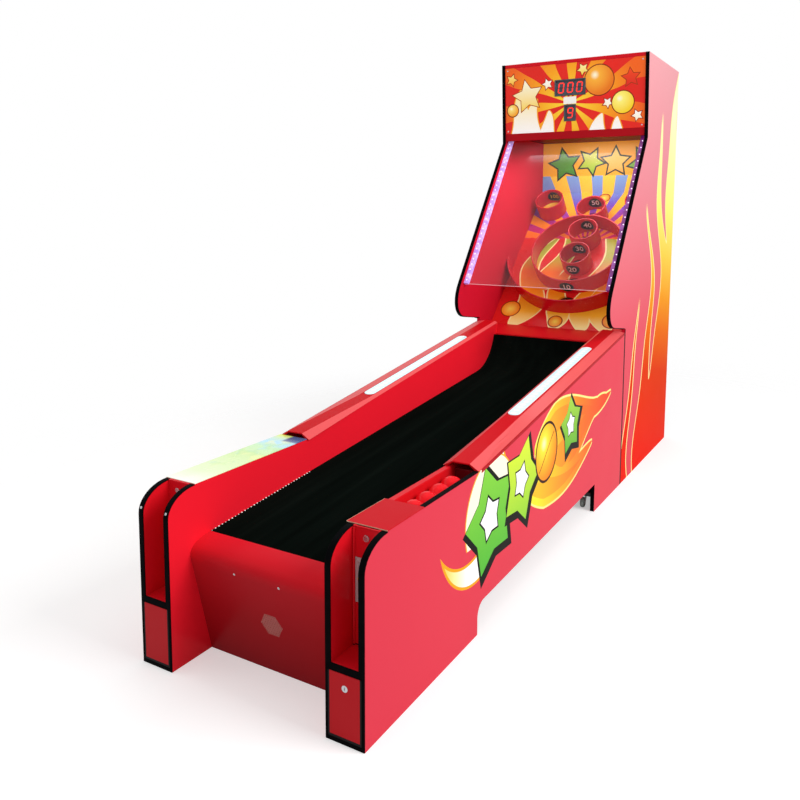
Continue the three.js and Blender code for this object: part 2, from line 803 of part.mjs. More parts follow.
// Sides of the target cabinet, with the rounded nose that reaches over the rails
const hookPlace = moduleLength - hookSetback;
const noseBottomPlace = moduleLength - noseBottomReach;
const noseTopPlace = moduleLength - noseTopReach;
const bendPlace = moduleLength + bendSetback;
const bendHeight = overallHeight - bendDrop;
const cabinetTopPlace = moduleLength + topSetback;
const slopeDirection = new THREE.Vector2(bendPlace - noseTopPlace, bendHeight - noseTopHeight).normalize();
const hookDirection = new THREE.Vector2(hookPlace - noseBottomPlace, hookHeight - noseBottomHeight).normalize();
const noseBottom = new THREE.Vector2(noseBottomPlace, noseBottomHeight);
const noseTop = new THREE.Vector2(noseTopPlace, noseTopHeight);
const nose = new THREE.CubicBezierCurve(
  noseBottom,
  noseBottom.clone().addScaledVector(hookDirection, -noseRoundness),
  noseTop.clone().addScaledVector(slopeDirection, -noseRoundness),
  noseTop,
);
const cabinetEdge = [
  [hookPlace, hookHeight],
  ...nose.getPoints(bendSteps).map((point) => [point.x, point.y]),
  [bendPlace, bendHeight],
  [cabinetTopPlace, overallHeight],
];
const cabinetFront = moduleLength + seamGap;
const cabinetSheetEdge = inset(cabinetEdge, trimThickness + fit);
const cabinetSheet = [
  ...cabinetSheetEdge.slice(0, -1),
  [cabinetSheetEdge.at(-1)[0], overallHeight],
  [overallLength, overallHeight],
  [overallLength, 0],
  [cabinetFront, 0],
  [cabinetFront, cabinetSheetEdge[0][1]],
];
for (const [hand, side] of [['left', -1], ['right', 1]]) {
  const span = sideX(side, outerInside, outerFace);
  piece(`${hand}_cabinet_side`, across(span, cabinetSheet), redGloss());
  const strip = across(span, band(cabinetEdge, 0, trimThickness));
  const above = block([-overallWidth, overallWidth], [0, overallLength],
    [overallHeight, overallHeight + overrun]);
  piece(`${hand}_cabinet_trim`, cut(strip, above), blackEdge());
}

// Top, rear panel and rear door
const cabinetSpan = [-outerInside + fit, outerInside - fit];
const topBottom = overallHeight - topThickness;
const edgeAt = (height) => bendPlace
  + (cabinetTopPlace - bendPlace) * (height - bendHeight) / (overallHeight - bendHeight);
const rearOutside = overallLength - rearSetback;
const rearInside = rearOutside - rearThickness;
piece('cabinet_top', block(cabinetSpan, [cabinetTopPlace + frontSetback, overallLength],
  [topBottom, overallHeight]), redGloss());

const rearDoorTop = rearDoorBottom + rearDoorHeight;
const ventRise = (k) => {
  const bottom = topBottom - ventDrop - k * ventPitch;
  return [bottom, bottom + ventHeight];
};
const rearOpening = block([-rearDoorWidth / 2, rearDoorWidth / 2],
  [rearInside - overrun, rearOutside + overrun], [rearDoorBottom, rearDoorTop]);
const vents = Array.from({ length: ventCount }, (_, k) => block([-ventLength / 2, ventLength / 2],
  [rearInside - overrun, rearOutside + overrun], ventRise(k)));
piece('rear_panel', cut(
  block(cabinetSpan, [rearInside, rearOutside], [rearPanelFoot, topBottom - fit]),
  rearOpening, ...vents,
), finish(0x1a1a1c, 0.6));

const rearDoorEdge = rearDoorWidth / 2 - rearDoorGap;
const rearLockX = rearDoorEdge - rearLockInset;
const rearLockHeight = (rearDoorBottom + rearDoorTop) / 2;
piece('rear_door', cut(
  block([-rearDoorEdge, rearDoorEdge], [rearInside, rearOutside],
    [rearDoorBottom + rearDoorGap, rearDoorTop - rearDoorGap]),
  rodBack([rearInside - overrun, rearOutside + overrun], lockRadius + fit, rearLockX, rearLockHeight),
), finish(0x1a1a1c, 0.6));
const rearLock = piece('rear_door_lock', camLock(rearThickness), steel());
rearLock.position.set(rearLockX, rearOutside, rearLockHeight);
rearLock.rotation.z = Math.PI;

// Marquee, score display and header
const slanted = ([fromZ, toZ], near, far) => [
  [edgeAt(fromZ) + near, fromZ],
  [edgeAt(toZ) + near, toZ],
  [edgeAt(toZ) + far, toZ],
  [edgeAt(fromZ) + far, fromZ],
];
const marqueeBack = frontSetback + marqueeThickness;
const marqueeBottom = overallHeight - marqueeDrop;
const scoreWindowBottom = overallHeight - scoreWindowDrop;
const ballWindowBottom = overallHeight - ballWindowDrop;
const windows = [
  { width: scoreWindowWidth, rise: [scoreWindowBottom, scoreWindowBottom + scoreWindowHeight] },
  { width: ballWindowWidth, rise: [ballWindowBottom, ballWindowBottom + ballWindowHeight] },
];
const windowSpan = (width, grow) => [displayMiddle - width / 2 - grow, displayMiddle + width / 2 + grow];
const grown = ([from, to], grow) => [from - grow, to + grow];
piece('marquee_panel', cut(
  across(cabinetSpan, slanted([marqueeBottom, topBottom - fit], frontSetback, marqueeBack)),
  ...windows.map(({ width, rise }) => across(windowSpan(width, fit * 2),
    slanted(grown(rise, fit * 2), -overrun, marqueeBack + overrun))),
), finish(0xf08a24, 0.35));

const displayFront = frontSetback - displayProud;
const displayBack = marqueeBack + fit + displayThickness;
const displayPlate = across(windowSpan(scoreWindowWidth, displayBorder), slanted(
  [ballWindowBottom - displayBorder, scoreWindowBottom + scoreWindowHeight + displayBorder],
  marqueeBack + fit, displayBack));
piece('score_display', cut(
  join(displayPlate, ...windows.map(({ width, rise }) => across(windowSpan(width, 0),
    slanted(rise, displayFront, displayBack)))),
  ...windows.map(({ width, rise }) => across(windowSpan(width, -displayFrame),
    slanted(grown(rise, -displayFrame), displayFront - overrun, displayFront + displayRecess))),
), finish(0x2a2d33, 0.4));

const headerLipBottom = overallHeight - headerLipDrop;
const headerTop = marqueeBottom - fit;
const headerBottom = headerTop - headerThickness;
piece('header_ceiling', join(
  across(cabinetSpan, slanted([headerLipBottom, headerTop], frontSetback, marqueeBack)),
  block(cabinetSpan, [edgeAt(headerBottom) + frontSetback + fit, rearInside - fit],
    [headerBottom, headerTop]),
), redGloss());

const boardPlace = moduleLength + boardSetback;
const boardTopPlace = rearInside - boardRearSpace;
const boardTopHeight = boardHeight + (headerBottom - fit - boardHeight) * boardRiseShare;
const boardAngle = Math.atan2(boardTopHeight - boardHeight, boardTopPlace - boardPlace);
const boardAbove = Math.hypot(boardTopHeight - boardHeight, boardTopPlace - boardPlace);
const backboardPlace = boardTopPlace + fit;
piece('backboard', block(cabinetSpan, [backboardPlace, backboardPlace + backboardThickness],
  [boardTopHeight + fit, headerBottom - fit]), finish(0x6d3fae, 0.4));

// Shield in its two lit channels
const shieldGroup = turnedGroup(noseTopPlace + shieldFromEdge, noseTopHeight, slopeDirection.angle());
const channelTopDrop = channelDepth / 2 * slopeDirection.x + fit;
const shieldLength = (headerBottom - channelTopDrop - noseTopHeight) / slopeDirection.y;
const channelOutside = outerInside - fit;
const channelInside = channelOutside - channelWidth;
const grooveBottom = channelInside + channelGroove;
const grooveHalf = shieldThickness / 2 + fit;
for (const [hand, side] of [['left', -1], ['right', 1]]) {
  const section = [
    [channelOutside, -channelDepth / 2],
    [channelOutside, channelDepth / 2],
    [channelInside, channelDepth / 2],
    [channelInside, grooveHalf],
    [grooveBottom, grooveHalf],
    [grooveBottom, -grooveHalf],
    [channelInside, -grooveHalf],
    [channelInside, -channelDepth / 2],
  ].map(([x, z]) => [side * x, z]);
  piece(`${hand}_light_channel`, backwards([0, shieldLength], section), finish(0xd9c6ff, 0.3), shieldGroup);
}
const shieldMaterial = finish(0xeef4ff, 0.05);
shieldMaterial.transparent = true;
shieldMaterial.opacity = 0.25;
piece('clear_shield', block([-grooveBottom + fit, grooveBottom - fit], [0, shieldLength],
  [-shieldThickness / 2, shieldThickness / 2]), shieldMaterial, shieldGroup);

// Target board with its ball holes, and the walls that stand on it
const target = turnedGroup(boardPlace, boardHeight, boardAngle);
const boardEdge = outerInside - boardSideGap;
const upBoard = (share) => boardAbove * share;
const cupRadius = upBoard(cupRadiusShare);
const cornerCupAcross = boardEdge - cupRadius - cornerCupGap;
const cups = {
  left_corner_cup: [-cornerCupAcross, upBoard(cornerCupShare)],
  right_corner_cup: [cornerCupAcross, upBoard(cornerCupShare)],
};
for (const [name, share] of Object.entries(centreCupShares)) {
  cups[name] = [0, upBoard(share)];
}
const holePlaces = [...pocketHoleShares.map((share) => [0, upBoard(share)]), ...Object.values(cups)];
piece('target_board', upwards([-boardThickness, 0],
  rectangle([-boardEdge, boardEdge], [-boardBelow, boardAbove]),
  holePlaces.map((place) => circle(place, ballHoleRadius))), finish(0xf2b21c, 0.4), target);

function wallProfile(inner, thickness) {
  const outer = inner + thickness;
  const shoulder = wallHeight - rimRadius;
  const rimTop = arc([inner + thickness / 2, shoulder], [thickness / 2, rimRadius], [0, Math.PI], rimSteps);
  return [[inner, fit], [outer, fit], ...rimTop, [inner, fit]];
}

function roundWall([x, place], outerRadius, thickness, steps) {
  const wall = new THREE.LatheGeometry(line(wallProfile(outerRadius - thickness, thickness)), steps);
  return wall.rotateX(Math.PI / 2).translate(x, place, 0);
}

for (const [name, place] of Object.entries(cups)) {
  piece(name, roundWall(place, cupRadius, cupWall, roundSteps), redGloss(), target);
}

const ringCentre = upBoard(ringCentreShare);
const cupRelief = upwards([-overrun, wallHeight + overrun], circle(cups.cup_50, cupRadius + ringClearance));
piece('big_ring', cut(roundWall([0, ringCentre], upBoard(bigRingShare), ringWall, 2 * roundSteps), cupRelief),
  redGloss(), target);

const outerRadius = boardEdge + outerRingReach;
const outerInner = outerRadius - ringWall;
const lowerHalf = upwards([fit, wallHeight], [
  ...arc([0, ringCentre], [outerRadius, outerRadius], [Math.PI, 2 * Math.PI], 2 * roundSteps),
  ...arc([0, ringCentre], [outerInner, outerInner], [2 * Math.PI, Math.PI], 2 * roundSteps),
]);
const pastBoard = (side) => block(sideX(side, boardEdge - fit, overallWidth),
  [-boardBelow - overallWidth, ringCentre + overrun], [-overrun, wallHeight + overrun]);
piece('outer_ring', cut(lowerHalf, pastBoard(-1), pastBoard(1)), redGloss(), target);

// Apron between the ramp and the board, narrow between the lane's sheets and wide in the cabinet
const boardFoot = [
  boardPlace - boardBelow * Math.cos(boardAngle),
  boardHeight - boardBelow * Math.sin(boardAngle),
];
const apronRun = boardFoot[0] - rampEnd[0];
const apronRise = boardFoot[1] - rampEnd[1];
const apronAngle = Math.atan2(apronRise, apronRun);
const apronLength = Math.hypot(apronRun, apronRise) - fit;
const apronStep = (cabinetFront + apronSideGap - rampEnd[0]) / Math.cos(apronAngle);
const apronNarrow = laneFace - fit;
const apronWide = outerInside - apronSideGap;
const apronStart = matThickness + deckThickness + fit;
piece('apron_panel', upwards([-apronThickness, 0], [
  [-apronNarrow, apronStart],
  [apronNarrow, apronStart],
  [apronNarrow, apronStep],
  [apronWide, apronStep],
  [apronWide, apronLength],
  [-apronWide, apronLength],
  [-apronWide, apronStep],
  [-apronNarrow, apronStep],
]), redGloss(), turnedGroup(rampEnd[0], rampEnd[1], apronAngle));

// Ball return: a leaning tray under the target, with a slanted front that leads to the right box
const chuteFront = cabinetFront + chuteFrontGap;
const chuteRun = rearInside - chuteRearSpace - chuteFront;
const chuteRise = chuteRearHeight - chuteFrontHeight;
const chuteLength = Math.hypot(chuteRun, chuteRise);
const chuteSide = outerInside - boardSideGap;
const chuteLeft = (moduleLength + chuteLeftSetback - chuteFront) * chuteLength / chuteRun;
const chuteOutline = [
  [chuteSide, 0],
  [chuteSide, chuteLength],
  [-chuteSide, chuteLength],
  [-chuteSide, chuteLeft],
  [innerOutside, 0],
];
const chuteInside = [
  [chuteSide - chuteThickness, -overrun],
  [chuteSide - chuteThickness, chuteLength - chuteThickness],
  [chuteThickness - chuteSide, chuteLength - chuteThickness],
  [chuteThickness - chuteSide, chuteLeft + chuteThickness],
  [innerOutside + chuteThickness, chuteThickness],
  [innerOutside + chuteThickness, -overrun],
];
piece('ball_return_chute', cut(
  upwards([0, chuteWallHeight], chuteOutline),
  upwards([chuteThickness, chuteWallHeight + overrun], chuteInside),
), plainBoard(), turnedGroup(chuteFront, chuteFrontHeight, Math.atan2(chuteRise, chuteRun)));

export default machine;
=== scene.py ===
import json
from math import atan2, cos, pi, radians, sin

import bmesh
import bpy
from mathutils import Matrix, Vector
from mathutils.bvhtree import BVHTree

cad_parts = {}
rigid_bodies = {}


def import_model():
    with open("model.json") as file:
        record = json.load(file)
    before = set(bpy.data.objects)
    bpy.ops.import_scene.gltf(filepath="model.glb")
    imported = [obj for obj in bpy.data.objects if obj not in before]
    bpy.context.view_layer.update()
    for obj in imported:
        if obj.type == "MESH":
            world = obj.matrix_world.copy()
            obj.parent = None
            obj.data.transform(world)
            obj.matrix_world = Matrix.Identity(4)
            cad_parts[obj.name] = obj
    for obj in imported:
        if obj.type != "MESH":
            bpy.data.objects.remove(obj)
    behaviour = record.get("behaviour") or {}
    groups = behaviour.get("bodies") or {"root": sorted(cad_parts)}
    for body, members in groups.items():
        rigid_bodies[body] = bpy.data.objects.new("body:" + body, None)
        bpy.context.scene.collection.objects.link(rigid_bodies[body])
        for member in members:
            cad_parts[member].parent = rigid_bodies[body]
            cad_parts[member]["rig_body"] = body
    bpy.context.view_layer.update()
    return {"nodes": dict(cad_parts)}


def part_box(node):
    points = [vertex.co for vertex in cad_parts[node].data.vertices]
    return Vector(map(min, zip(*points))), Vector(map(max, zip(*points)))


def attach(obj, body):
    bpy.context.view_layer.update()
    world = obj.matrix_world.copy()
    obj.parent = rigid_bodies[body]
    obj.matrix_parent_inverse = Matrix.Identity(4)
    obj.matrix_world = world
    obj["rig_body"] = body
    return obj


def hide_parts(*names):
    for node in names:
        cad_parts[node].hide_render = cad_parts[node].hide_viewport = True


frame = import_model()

nodes = frame["nodes"]

# places of the machine that several pieces share, in metres
machine = {
    "halfWidth": 0.390,
    "sheet": 0.018,
    "laneFace": 0.272,
    "postX": 0.331,
    "seamY": 0.656,
    "boardY": 0.960,
    "boardZ": 0.883,
    "boardRun": 0.568,
    "boardRise": 0.54886,
    "bend": (0.955, 1.690),
    "top": (0.927, 2.100),
    "noseTop": (0.425, 0.960),
    "shieldY": 0.463,
    "clear": 2.0,
}
sheetMiddle = machine["halfWidth"] - machine["sheet"] / 2
boardAngle = atan2(machine["boardRise"], machine["boardRun"])
boardFoot = Matrix.Translation((0, machine["boardY"], machine["boardZ"]))
boardPlace = boardFoot @ Matrix.Rotation(boardAngle, 4, "X")
slopeAngle = atan2(machine["bend"][1] - machine["noseTop"][1], machine["bend"][0] - machine["noseTop"][0])
shieldFoot = Matrix.Translation((0, machine["shieldY"], machine["noseTop"][1]))
shieldPlace = shieldFoot @ Matrix.Rotation(slopeAngle, 4, "X")
frontLine = (machine["top"][0] - machine["bend"][0]) / (machine["top"][1] - machine["bend"][1])


def sheetTop(y):
    thing = nodes["right_outer_side"]
    inverse = thing.matrix_world.inverted()
    start = inverse @ Vector((sheetMiddle, y, machine["clear"]))
    hit, place, normal, face = thing.ray_cast(start, inverse.to_3x3() @ Vector((0, 0, -1)))
    return (thing.matrix_world @ place).z


railTop = {"start": -0.945, "near": -0.8, "far": 0.6, "band": 0.011}
railTop["slope"] = (sheetTop(railTop["far"]) - sheetTop(railTop["near"])) / (railTop["far"] - railTop["near"])
railTop["rise"] = sheetTop(railTop["near"]) - railTop["near"] * railTop["slope"]


def marqueeY(z):
    return machine["bend"][0] + frontLine * (z - machine["bend"][1])


def hexColour(code):
    def linear(part):
        return part / 12.92 if part <= 0.04045 else ((part + 0.055) / 1.055) ** 2.4
    return tuple(linear(int(code[i:i + 2], 16) / 255) for i in (0, 2, 4)) + (1,)


def mathNode(operation, turned=False):
    def act(wire, other=0.0):
        first, second = (other, wire) if turned else (wire, other)
        return wire.paint.sum(operation, first, second)
    return act


# one output of a node, which can be used in sums
class Wire:
    def __init__(self, paint, socket):
        self.paint = paint
        self.socket = socket

    __add__, __radd__ = mathNode("ADD"), mathNode("ADD", True)
    __sub__, __rsub__ = mathNode("SUBTRACT"), mathNode("SUBTRACT", True)
    __mul__, __rmul__ = mathNode("MULTIPLY"), mathNode("MULTIPLY", True)
    __truediv__, __rtruediv__ = mathNode("DIVIDE"), mathNode("DIVIDE", True)
    __pow__, __mod__ = mathNode("POWER"), mathNode("FLOORED_MODULO")
    __gt__, __lt__ = mathNode("GREATER_THAN"), mathNode("LESS_THAN")
    __or__, __and__, __abs__ = mathNode("MAXIMUM"), mathNode("MINIMUM"), mathNode("ABSOLUTE")


# one material and its nodes
class Paint:
    def __init__(self, name, colour, rough, **fixed):
        self.material = bpy.data.materials.new(name)
        self.material.use_nodes = True
        self.tree = self.material.node_tree
        self.shader = self.tree.nodes["Principled BSDF"]
        self.set("Roughness", rough)
        self.set("Base Color", hexColour(colour))
        for socket, value in fixed.items():
            self.set(socket, value)

    def fill(self, socket, value):
        if isinstance(value, Wire):
            self.tree.links.new(value.socket, socket)
        else:
            socket.default_value = value

    def set(self, socket, value):
        self.fill(self.shader.inputs[socket.replace("_", " ")], value)
        return self

    def node(self, kind, settings=None, sockets=None, out=0):
        node = self.tree.nodes.new("ShaderNode" + kind)
        for key, value in (settings or {}).items():
            if key == "stops":
                ramp = node.color_ramp
                while len(ramp.elements) < len(value):
                    ramp.elements.new(1)
                for element, (place, code) in zip(ramp.elements, value):
                    element.position = place
                    element.color = hexColour(code)
            else:
                setattr(node, key, value)
        for key, value in (sockets or {}).items():
            self.fill(node.inputs[key], value)
        return Wire(self, node.outputs[out])

    def sum(self, operation, first, second=0.0):
        return self.node("Math", {"operation": operation}, {0: first, 1: second})

    def sine(self, angle):
        return self.sum("SINE", angle)

    def place(self):
        return self.node("TexCoord", None, None, "Object")

    def split(self, vector):
        parts = self.tree.nodes.new("ShaderNodeSeparateXYZ")
        self.tree.links.new(vector.socket, parts.inputs[0])
        return [Wire(self, output) for output in parts.outputs]

    def axes(self):
        return self.split(self.place())

    def faces(self):
        return self.split(self.node("NewGeometry", out="Normal"))

    def noise(self, scale, detail=2.0, stretch=(1, 1, 1), roughness=0.5):
        where = self.node("Mapping", None, {"Vector": self.place(), "Scale": stretch})
        return self.node("TexNoise", None, {"Vector": where, "Scale": scale, "Detail": detail,
                                            "Roughness": roughness})

    def blend(self, share, first, second, mode="MIX"):
        # colours come as hex codes, linear values or wires
        first, second = [hexColour(tone) if isinstance(tone, str) else tone for tone in (first, second)]
        return self.node("Mix", {"data_type": "RGBA", "blend_type": mode},
                         {0: share, 6: first, 7: second}, 2)

    def outlined(self, art, shape, edge, line, fill, mask=None):
        # a shape laid on the art, with an outline of its own colour round it
        for reach, tone in ((-edge, line), (0.0, fill)):
            share = shape > reach
            art = self.blend(share if mask is None else share * mask, art, tone)
        return art

    def clamp(self, value):
        return self.node("Clamp", None, {0: value})

    def ramp(self, value, *stops):
        return self.node("ValToRGB", {"stops": stops}, {0: value})

    def step(self, value, low, high):
        return self.node("MapRange", {"interpolation_type": "SMOOTHSTEP"},
                         {"Value": value, "From Min": low, "From Max": high})

    def bump(self, height, depth, strength=1.0):
        return self.set("Normal", self.node("Bump", None, {"Strength": strength, "Distance": depth,
                                                           "Height": height}))

    def mottled(self, base, amount=0.08, scale=2.2):
        tone = (self.noise(scale, 3.0) - 0.5) * amount + 1.0
        shade = self.node("CombineColor", None, {0: tone, 1: tone, 2: tone})
        return self.blend(1.0, base, shade, "MULTIPLY")

    def glow(self, tone):
        return self.set("Base Color", tone).set("Emission Color", tone)

    def worn(self, least, spread, scale, detail):
        return self.set("Roughness", least + self.noise(scale, detail) * spread)

    def grain(self, scale, detail, depth, strength):
        return self.bump(self.noise(scale, detail), depth, strength).material


def linked(name, data):
    thing = bpy.data.objects.new(name, data)
    bpy.context.scene.collection.objects.link(thing)
    return thing


# camera at the photograph's place, lights and floor
view = {
    "place": (1.38612, -3.1008, 1.31872),
    "azimuth": 30.79,
    "elevation": 6.38,
    "roll": 0.17,
    "focal": 791.09,
    "centre": (401.65, 300.0),
    "picture": 800,
    "sensor": 36,
}


def makeCamera():
    picture = view["picture"]
    data = bpy.data.cameras.new("camera")
    data.sensor_width = view["sensor"]
    data.lens = view["focal"] / picture * view["sensor"]
    data.shift_x = (picture / 2 - view["centre"][0]) / picture
    data.shift_y = (view["centre"][1] - picture / 2) / picture
    data.clip_end = 100
    camera = linked("camera", data)
    turn, lift, lean = [radians(view[key]) for key in ("azimuth", "elevation", "roll")]
    back = Vector((sin(turn) * cos(lift), -cos(turn) * cos(lift), sin(lift)))
    right = Vector((cos(turn), sin(turn), 0))
    up = back.cross(right)
    turnedRight = cos(lean) * right + sin(lean) * up
    turnedUp = cos(lean) * up - sin(lean) * right
    frameOf = Matrix((turnedRight, turnedUp, back)).transposed()
    camera.matrix_world = Matrix.Translation(view["place"]) @ frameOf.to_4x4()
    bpy.context.scene.camera = camera


lamps = {
    "side": {"place": (4.6, -0.3, 3.5), "aim": (0.1, -0.1, 0.7), "size": 3.2, "power": 235},
    "front": {"place": (1.2, -5.6, 3.0), "aim": (0, -0.4, 0.8), "size": 3.0, "power": 10},
    "left": {"place": (-3.6, -2.6, 2.8), "aim": (0, -0.2, 0.8), "size": 3.0, "power": 28},
    "top": {"place": (0.2, -0.4, 5.0), "aim": (0, 0.0, 0.5), "size": 3.6, "power": 24},
    "header": {"place": (0, 1.12, 1.66), "aim": (0, 1.25, 1.1), "size": 0.45, "power": 3.2},
}


def makeLamps():
    for name, lamp in lamps.items():
        data = bpy.data.lights.new(name, "AREA")
        data.shape = "SQUARE"
        data.size = lamp["size"]
        data.energy = lamp["power"]
        thing = linked(name, data)
        toward = Vector(lamp["aim"]) - Vector(lamp["place"])
        thing.matrix_world = (Matrix.Translation(lamp["place"])
                              @ toward.to_track_quat("-Z", "Y").to_matrix().to_4x4())


def makeWorld(light=0.47):
    # white where it is seen or mirrored, weaker as a light
    world = bpy.data.worlds.new("studio")
    bpy.context.scene.world = world
    world.use_nodes = True
    tree = world.node_tree
    backdrop = tree.nodes["Background"]
    backdrop.inputs["Color"].default_value = (1, 1, 1, 1)
    path = tree.nodes.new("ShaderNodeLightPath")
    seen = path.outputs["Is Camera Ray"]
    for key in ("Is Glossy Ray", "Is Transmission Ray"):
        either = tree.nodes.new("ShaderNodeMath")
        either.operation = "MAXIMUM"
        tree.links.new(seen, either.inputs[0])
        tree.links.new(path.outputs[key], either.inputs[1])
        seen = either.outputs[0]
    strength = tree.nodes.new("ShaderNodeMapRange")
    strength.inputs["To Min"].default_value = light
    tree.links.new(seen, strength.inputs["Value"])
    tree.links.new(strength.outputs[0], backdrop.inputs["Strength"])


paper = {"radius": 9, "below": 0.0006, "code": "dcdcdc", "glow": 0.44, "near": 1.1, "far": 2.9, "long": 0.4}


def makeFloor():
    # pale paper that fades into the backdrop
    bpy.ops.mesh.primitive_circle_add(vertices=96, radius=paper["radius"], fill_type="NGON",
                                      location=(0, 0, -paper["below"]))
    floor = bpy.context.active_object
    floor.name = "studio_floor"
    paint = Paint("floor_paper", paper["code"], 0.9, Specular_IOR_Level=0.1, Emission_Strength=paper["glow"])
    x, y, z = paint.axes()
    paint.set("Alpha", 1.0 - paint.step((x * x + y * y * paper["long"]) ** 0.5, paper["near"], paper["far"]))
    paint.set("Base Color", paint.mottled(paper["code"], 0.01, 2.0))
    path = paint.tree.nodes.new("ShaderNodeLightPath")
    camera, glossy, through = [
        Wire(paint, path.outputs[key]) for key in ("Is Camera Ray", "Is Glossy Ray", "Is Transmission Ray")]
    paint.set("Emission_Color", paint.blend(camera | glossy | through, "000000", "ffffff"))
    floor.data.materials.append(paint.material)


bpy.context.scene.view_settings.view_transform = "Standard"
makeCamera()
makeLamps()
makeWorld()
makeFloor()
print("stage ready")


# Shapes of the prints: each is positive inside and gives the depth from its edge

flame = {"taper": 0.62, "swell": 4.5}


def flames(paint, along, up, tongues):
    # each tongue: foot place, foot height, tip height, half width at the foot, sway, waves, phase, lean
    whole = None
    for foot, low, tip, half, sway, waves, phase, lean in tongues:
        t = (up - low) / (tip - low)
        middle = paint.sine(t * waves + phase) * sway + foot + t * lean
        swell = paint.clamp(t * flame["swell"]) ** 0.5
        width = (1.0 - paint.clamp(t)) ** flame["taper"] * swell * half
        depth = width - abs(along - middle) - (t > 1.0) - (t < 0.0)
        whole = depth if whole is None else whole | depth
    return whole


def flameRow(paint, along, up, row):
    # a row of licks that lean together, with pointed tips
    bend = along
    for size, waves, phase in row["warp"]:
        bend = bend + paint.sine(up * waves + phase) * size
    tip = 1.0 - abs(paint.sine((bend - row["first"]) * (pi / row["pitch"]))) ** row["point"]
    t = paint.clamp((bend - row["from"]) / (row["to"] - row["from"]))
    foot, reach = [t * (row[key][1] - row[key][0]) + row[key][0] for key in ("foot", "reach")]
    return foot + tip * reach - up


def star(paint, u, v, centre, size, turn, sharp=0.5):
    du, dv = u - centre[0], v - centre[1]
    reach = (du * du + dv * dv) ** 0.5
    sector = 2 * pi / 5
    # whole turns are added first, so that the angle is above zero
    angle = paint.sum("ARCTAN2", du, dv) + turn
    folded = abs((angle + 50 * sector + sector / 2) % sector - sector / 2)
    inner = size * sharp
    slope = atan2(inner * sin(sector / 2), size - inner * cos(sector / 2))
    return size * sin(slope) - reach * paint.sine(folded + slope)


def disc(u, v, centre, size):
    du, dv = u - centre[0], v - centre[1]
    return size - (du * du + dv * dv) ** 0.5


def starRow(paint, art, u, v, stars, edge, line, mask=None):
    # each star: middle, size, turn, lower and upper colour
    for centre, size, turn, low, high in stars:
        fill = paint.ramp((v - centre[1]) / size * 0.5 + 0.5, (0.0, low), (1.0, high))
        art = paint.outlined(art, star(paint, u, v, centre, size, turn), edge, line, fill, mask)
    return art


# Reds

def laminate(name, shine=0.08, coat=0.03, code="dc1624"):
    # glossy sheet with faint scuffs; a print on it gives its own colours
    paint = Paint(name, code, 0.32, Coat_Weight=coat, Coat_Roughness=0.12, Specular_IOR_Level=shine)
    paint.set("Base Color", paint.mottled(code))
    scuffs = paint.step(paint.noise(60, 4.0, (1, 0.15, 1)), 0.6, 0.8)
    paint.set("Roughness", 0.28 + paint.noise(7, 3.0) * 0.10 + scuffs * 0.05)
    return paint.bump(paint.noise(420, 2.0), 0.0001, 0.12)


def panelRed():
    # the leaning front panel: a painted shade, bright at the rolled lip and deeper toward the floor
    paint = laminate("panel_laminate", 0.03, 0.0)
    x, y, z = paint.axes()
    tone = paint.ramp(z / 0.38 + paint.noise(3, 2.0) * 0.04, (0.0, "9c121c"), (0.45, "a8161e"),
                      (0.80, "bc1c26"), (0.93, "dc1e2a"), (1.0, "e82232"))
    return paint.set("Base Color", paint.mottled(tone, 0.05)).material


def doorPaint(name, border, code="c4141f"):
    # a red door whose outer margin is covered by the black moulding, or darkened along its foot by a painted
    # shadow of the gap under it
    paint = laminate(name)
    x, y, z = paint.axes()
    moulding_or_shadow_band = (abs(abs(x) - machine["postX"]) > border["half"]) | (z < border["foot"])
    return paint.set("Base Color", paint.blend(moulding_or_shadow_band, paint.mottled(code), border["colour"])).material


def ceilingPaint():
    # header ceiling: its lip catches the light, its underside is painted darker as a painted shade
    paint = laminate("ceiling_laminate", 0.01, 0.0)
    lip = paint.mottled("b81a24")
    return paint.set("Base Color", paint.blend(paint.faces()[2] < -0.5, lip, "6c0810")).material


def coverPaint():
    # rail covers: tops rubbed matt by hands, the slopes beside them still glossy, with a painted highlight in
    # pale pink
    paint = Paint("red_cover_paint", "d5161f", 0.34, Coat_Roughness=0.14, Specular_IOR_Level=0.02)
    across, along, up = paint.faces()
    slope = paint.step(abs(across), 0.015, 0.05) * (up > 0.3)
    paint.set("Coat Weight", slope * 0.10)
    # the slopes' pale pink is a painted highlight, where they face the side light
    paint.set("Base Color", paint.blend(slope, paint.mottled("d0141e", 0.08, 3.5),
                                        paint.mottled("ea5c5e", 0.06, 3.5)))
    return paint.worn(0.28, 0.12, 14, 3.0).grain(750, 3.0, 0.0003, 0.3)


def redSteel(name="red_powder_coat", code="d3161f", shine=0.10, coat=0.04):
    paint = Paint(name, code, 0.34, Coat_Weight=coat, Coat_Roughness=0.12, Specular_IOR_Level=shine)
    paint.set("Base Color", paint.mottled(code, 0.10, 3.5))
    return paint.worn(0.26, 0.12, 14, 3.0).grain(750, 3.0, 0.0003, 0.4)


def ringPlastic():
    paint = Paint("ring_plastic", "cf1030", 0.28, Coat_Weight=0.15, Coat_Roughness=0.1,
                  Specular_IOR_Level=0.3, Subsurface_Weight=0.05)
    paint.set("Base Color", paint.mottled("d00f2c", 0.14, 5.0))
    marks = paint.step(paint.noise(90, 4.0, (1, 1, 0.2)), 0.6, 0.8)
    return paint.set("Roughness", 0.24 + marks * 0.22).grain(500, 2.0, 0.0003, 0.3)


def ballRed():
    paint = Paint("ball_red", "c9101c", 0.22, Coat_Weight=0.05, Coat_Roughness=0.06, Specular_IOR_Level=0.08)
    cloud = paint.noise(18, 5.0)
    paint.set("Base Color", paint.ramp(cloud, (0.3, "e8101e"), (0.55, "fb1824"), (0.8, "ff3038")))
    marks = paint.step(paint.noise(70, 3.0), 0.55, 0.75)
    return paint.set("Roughness", 0.18 + marks * 0.2).grain(260, 3.0, 0.0003, 0.25)


# Prints

# depth of a sheet's printed face
skin = 0.0015

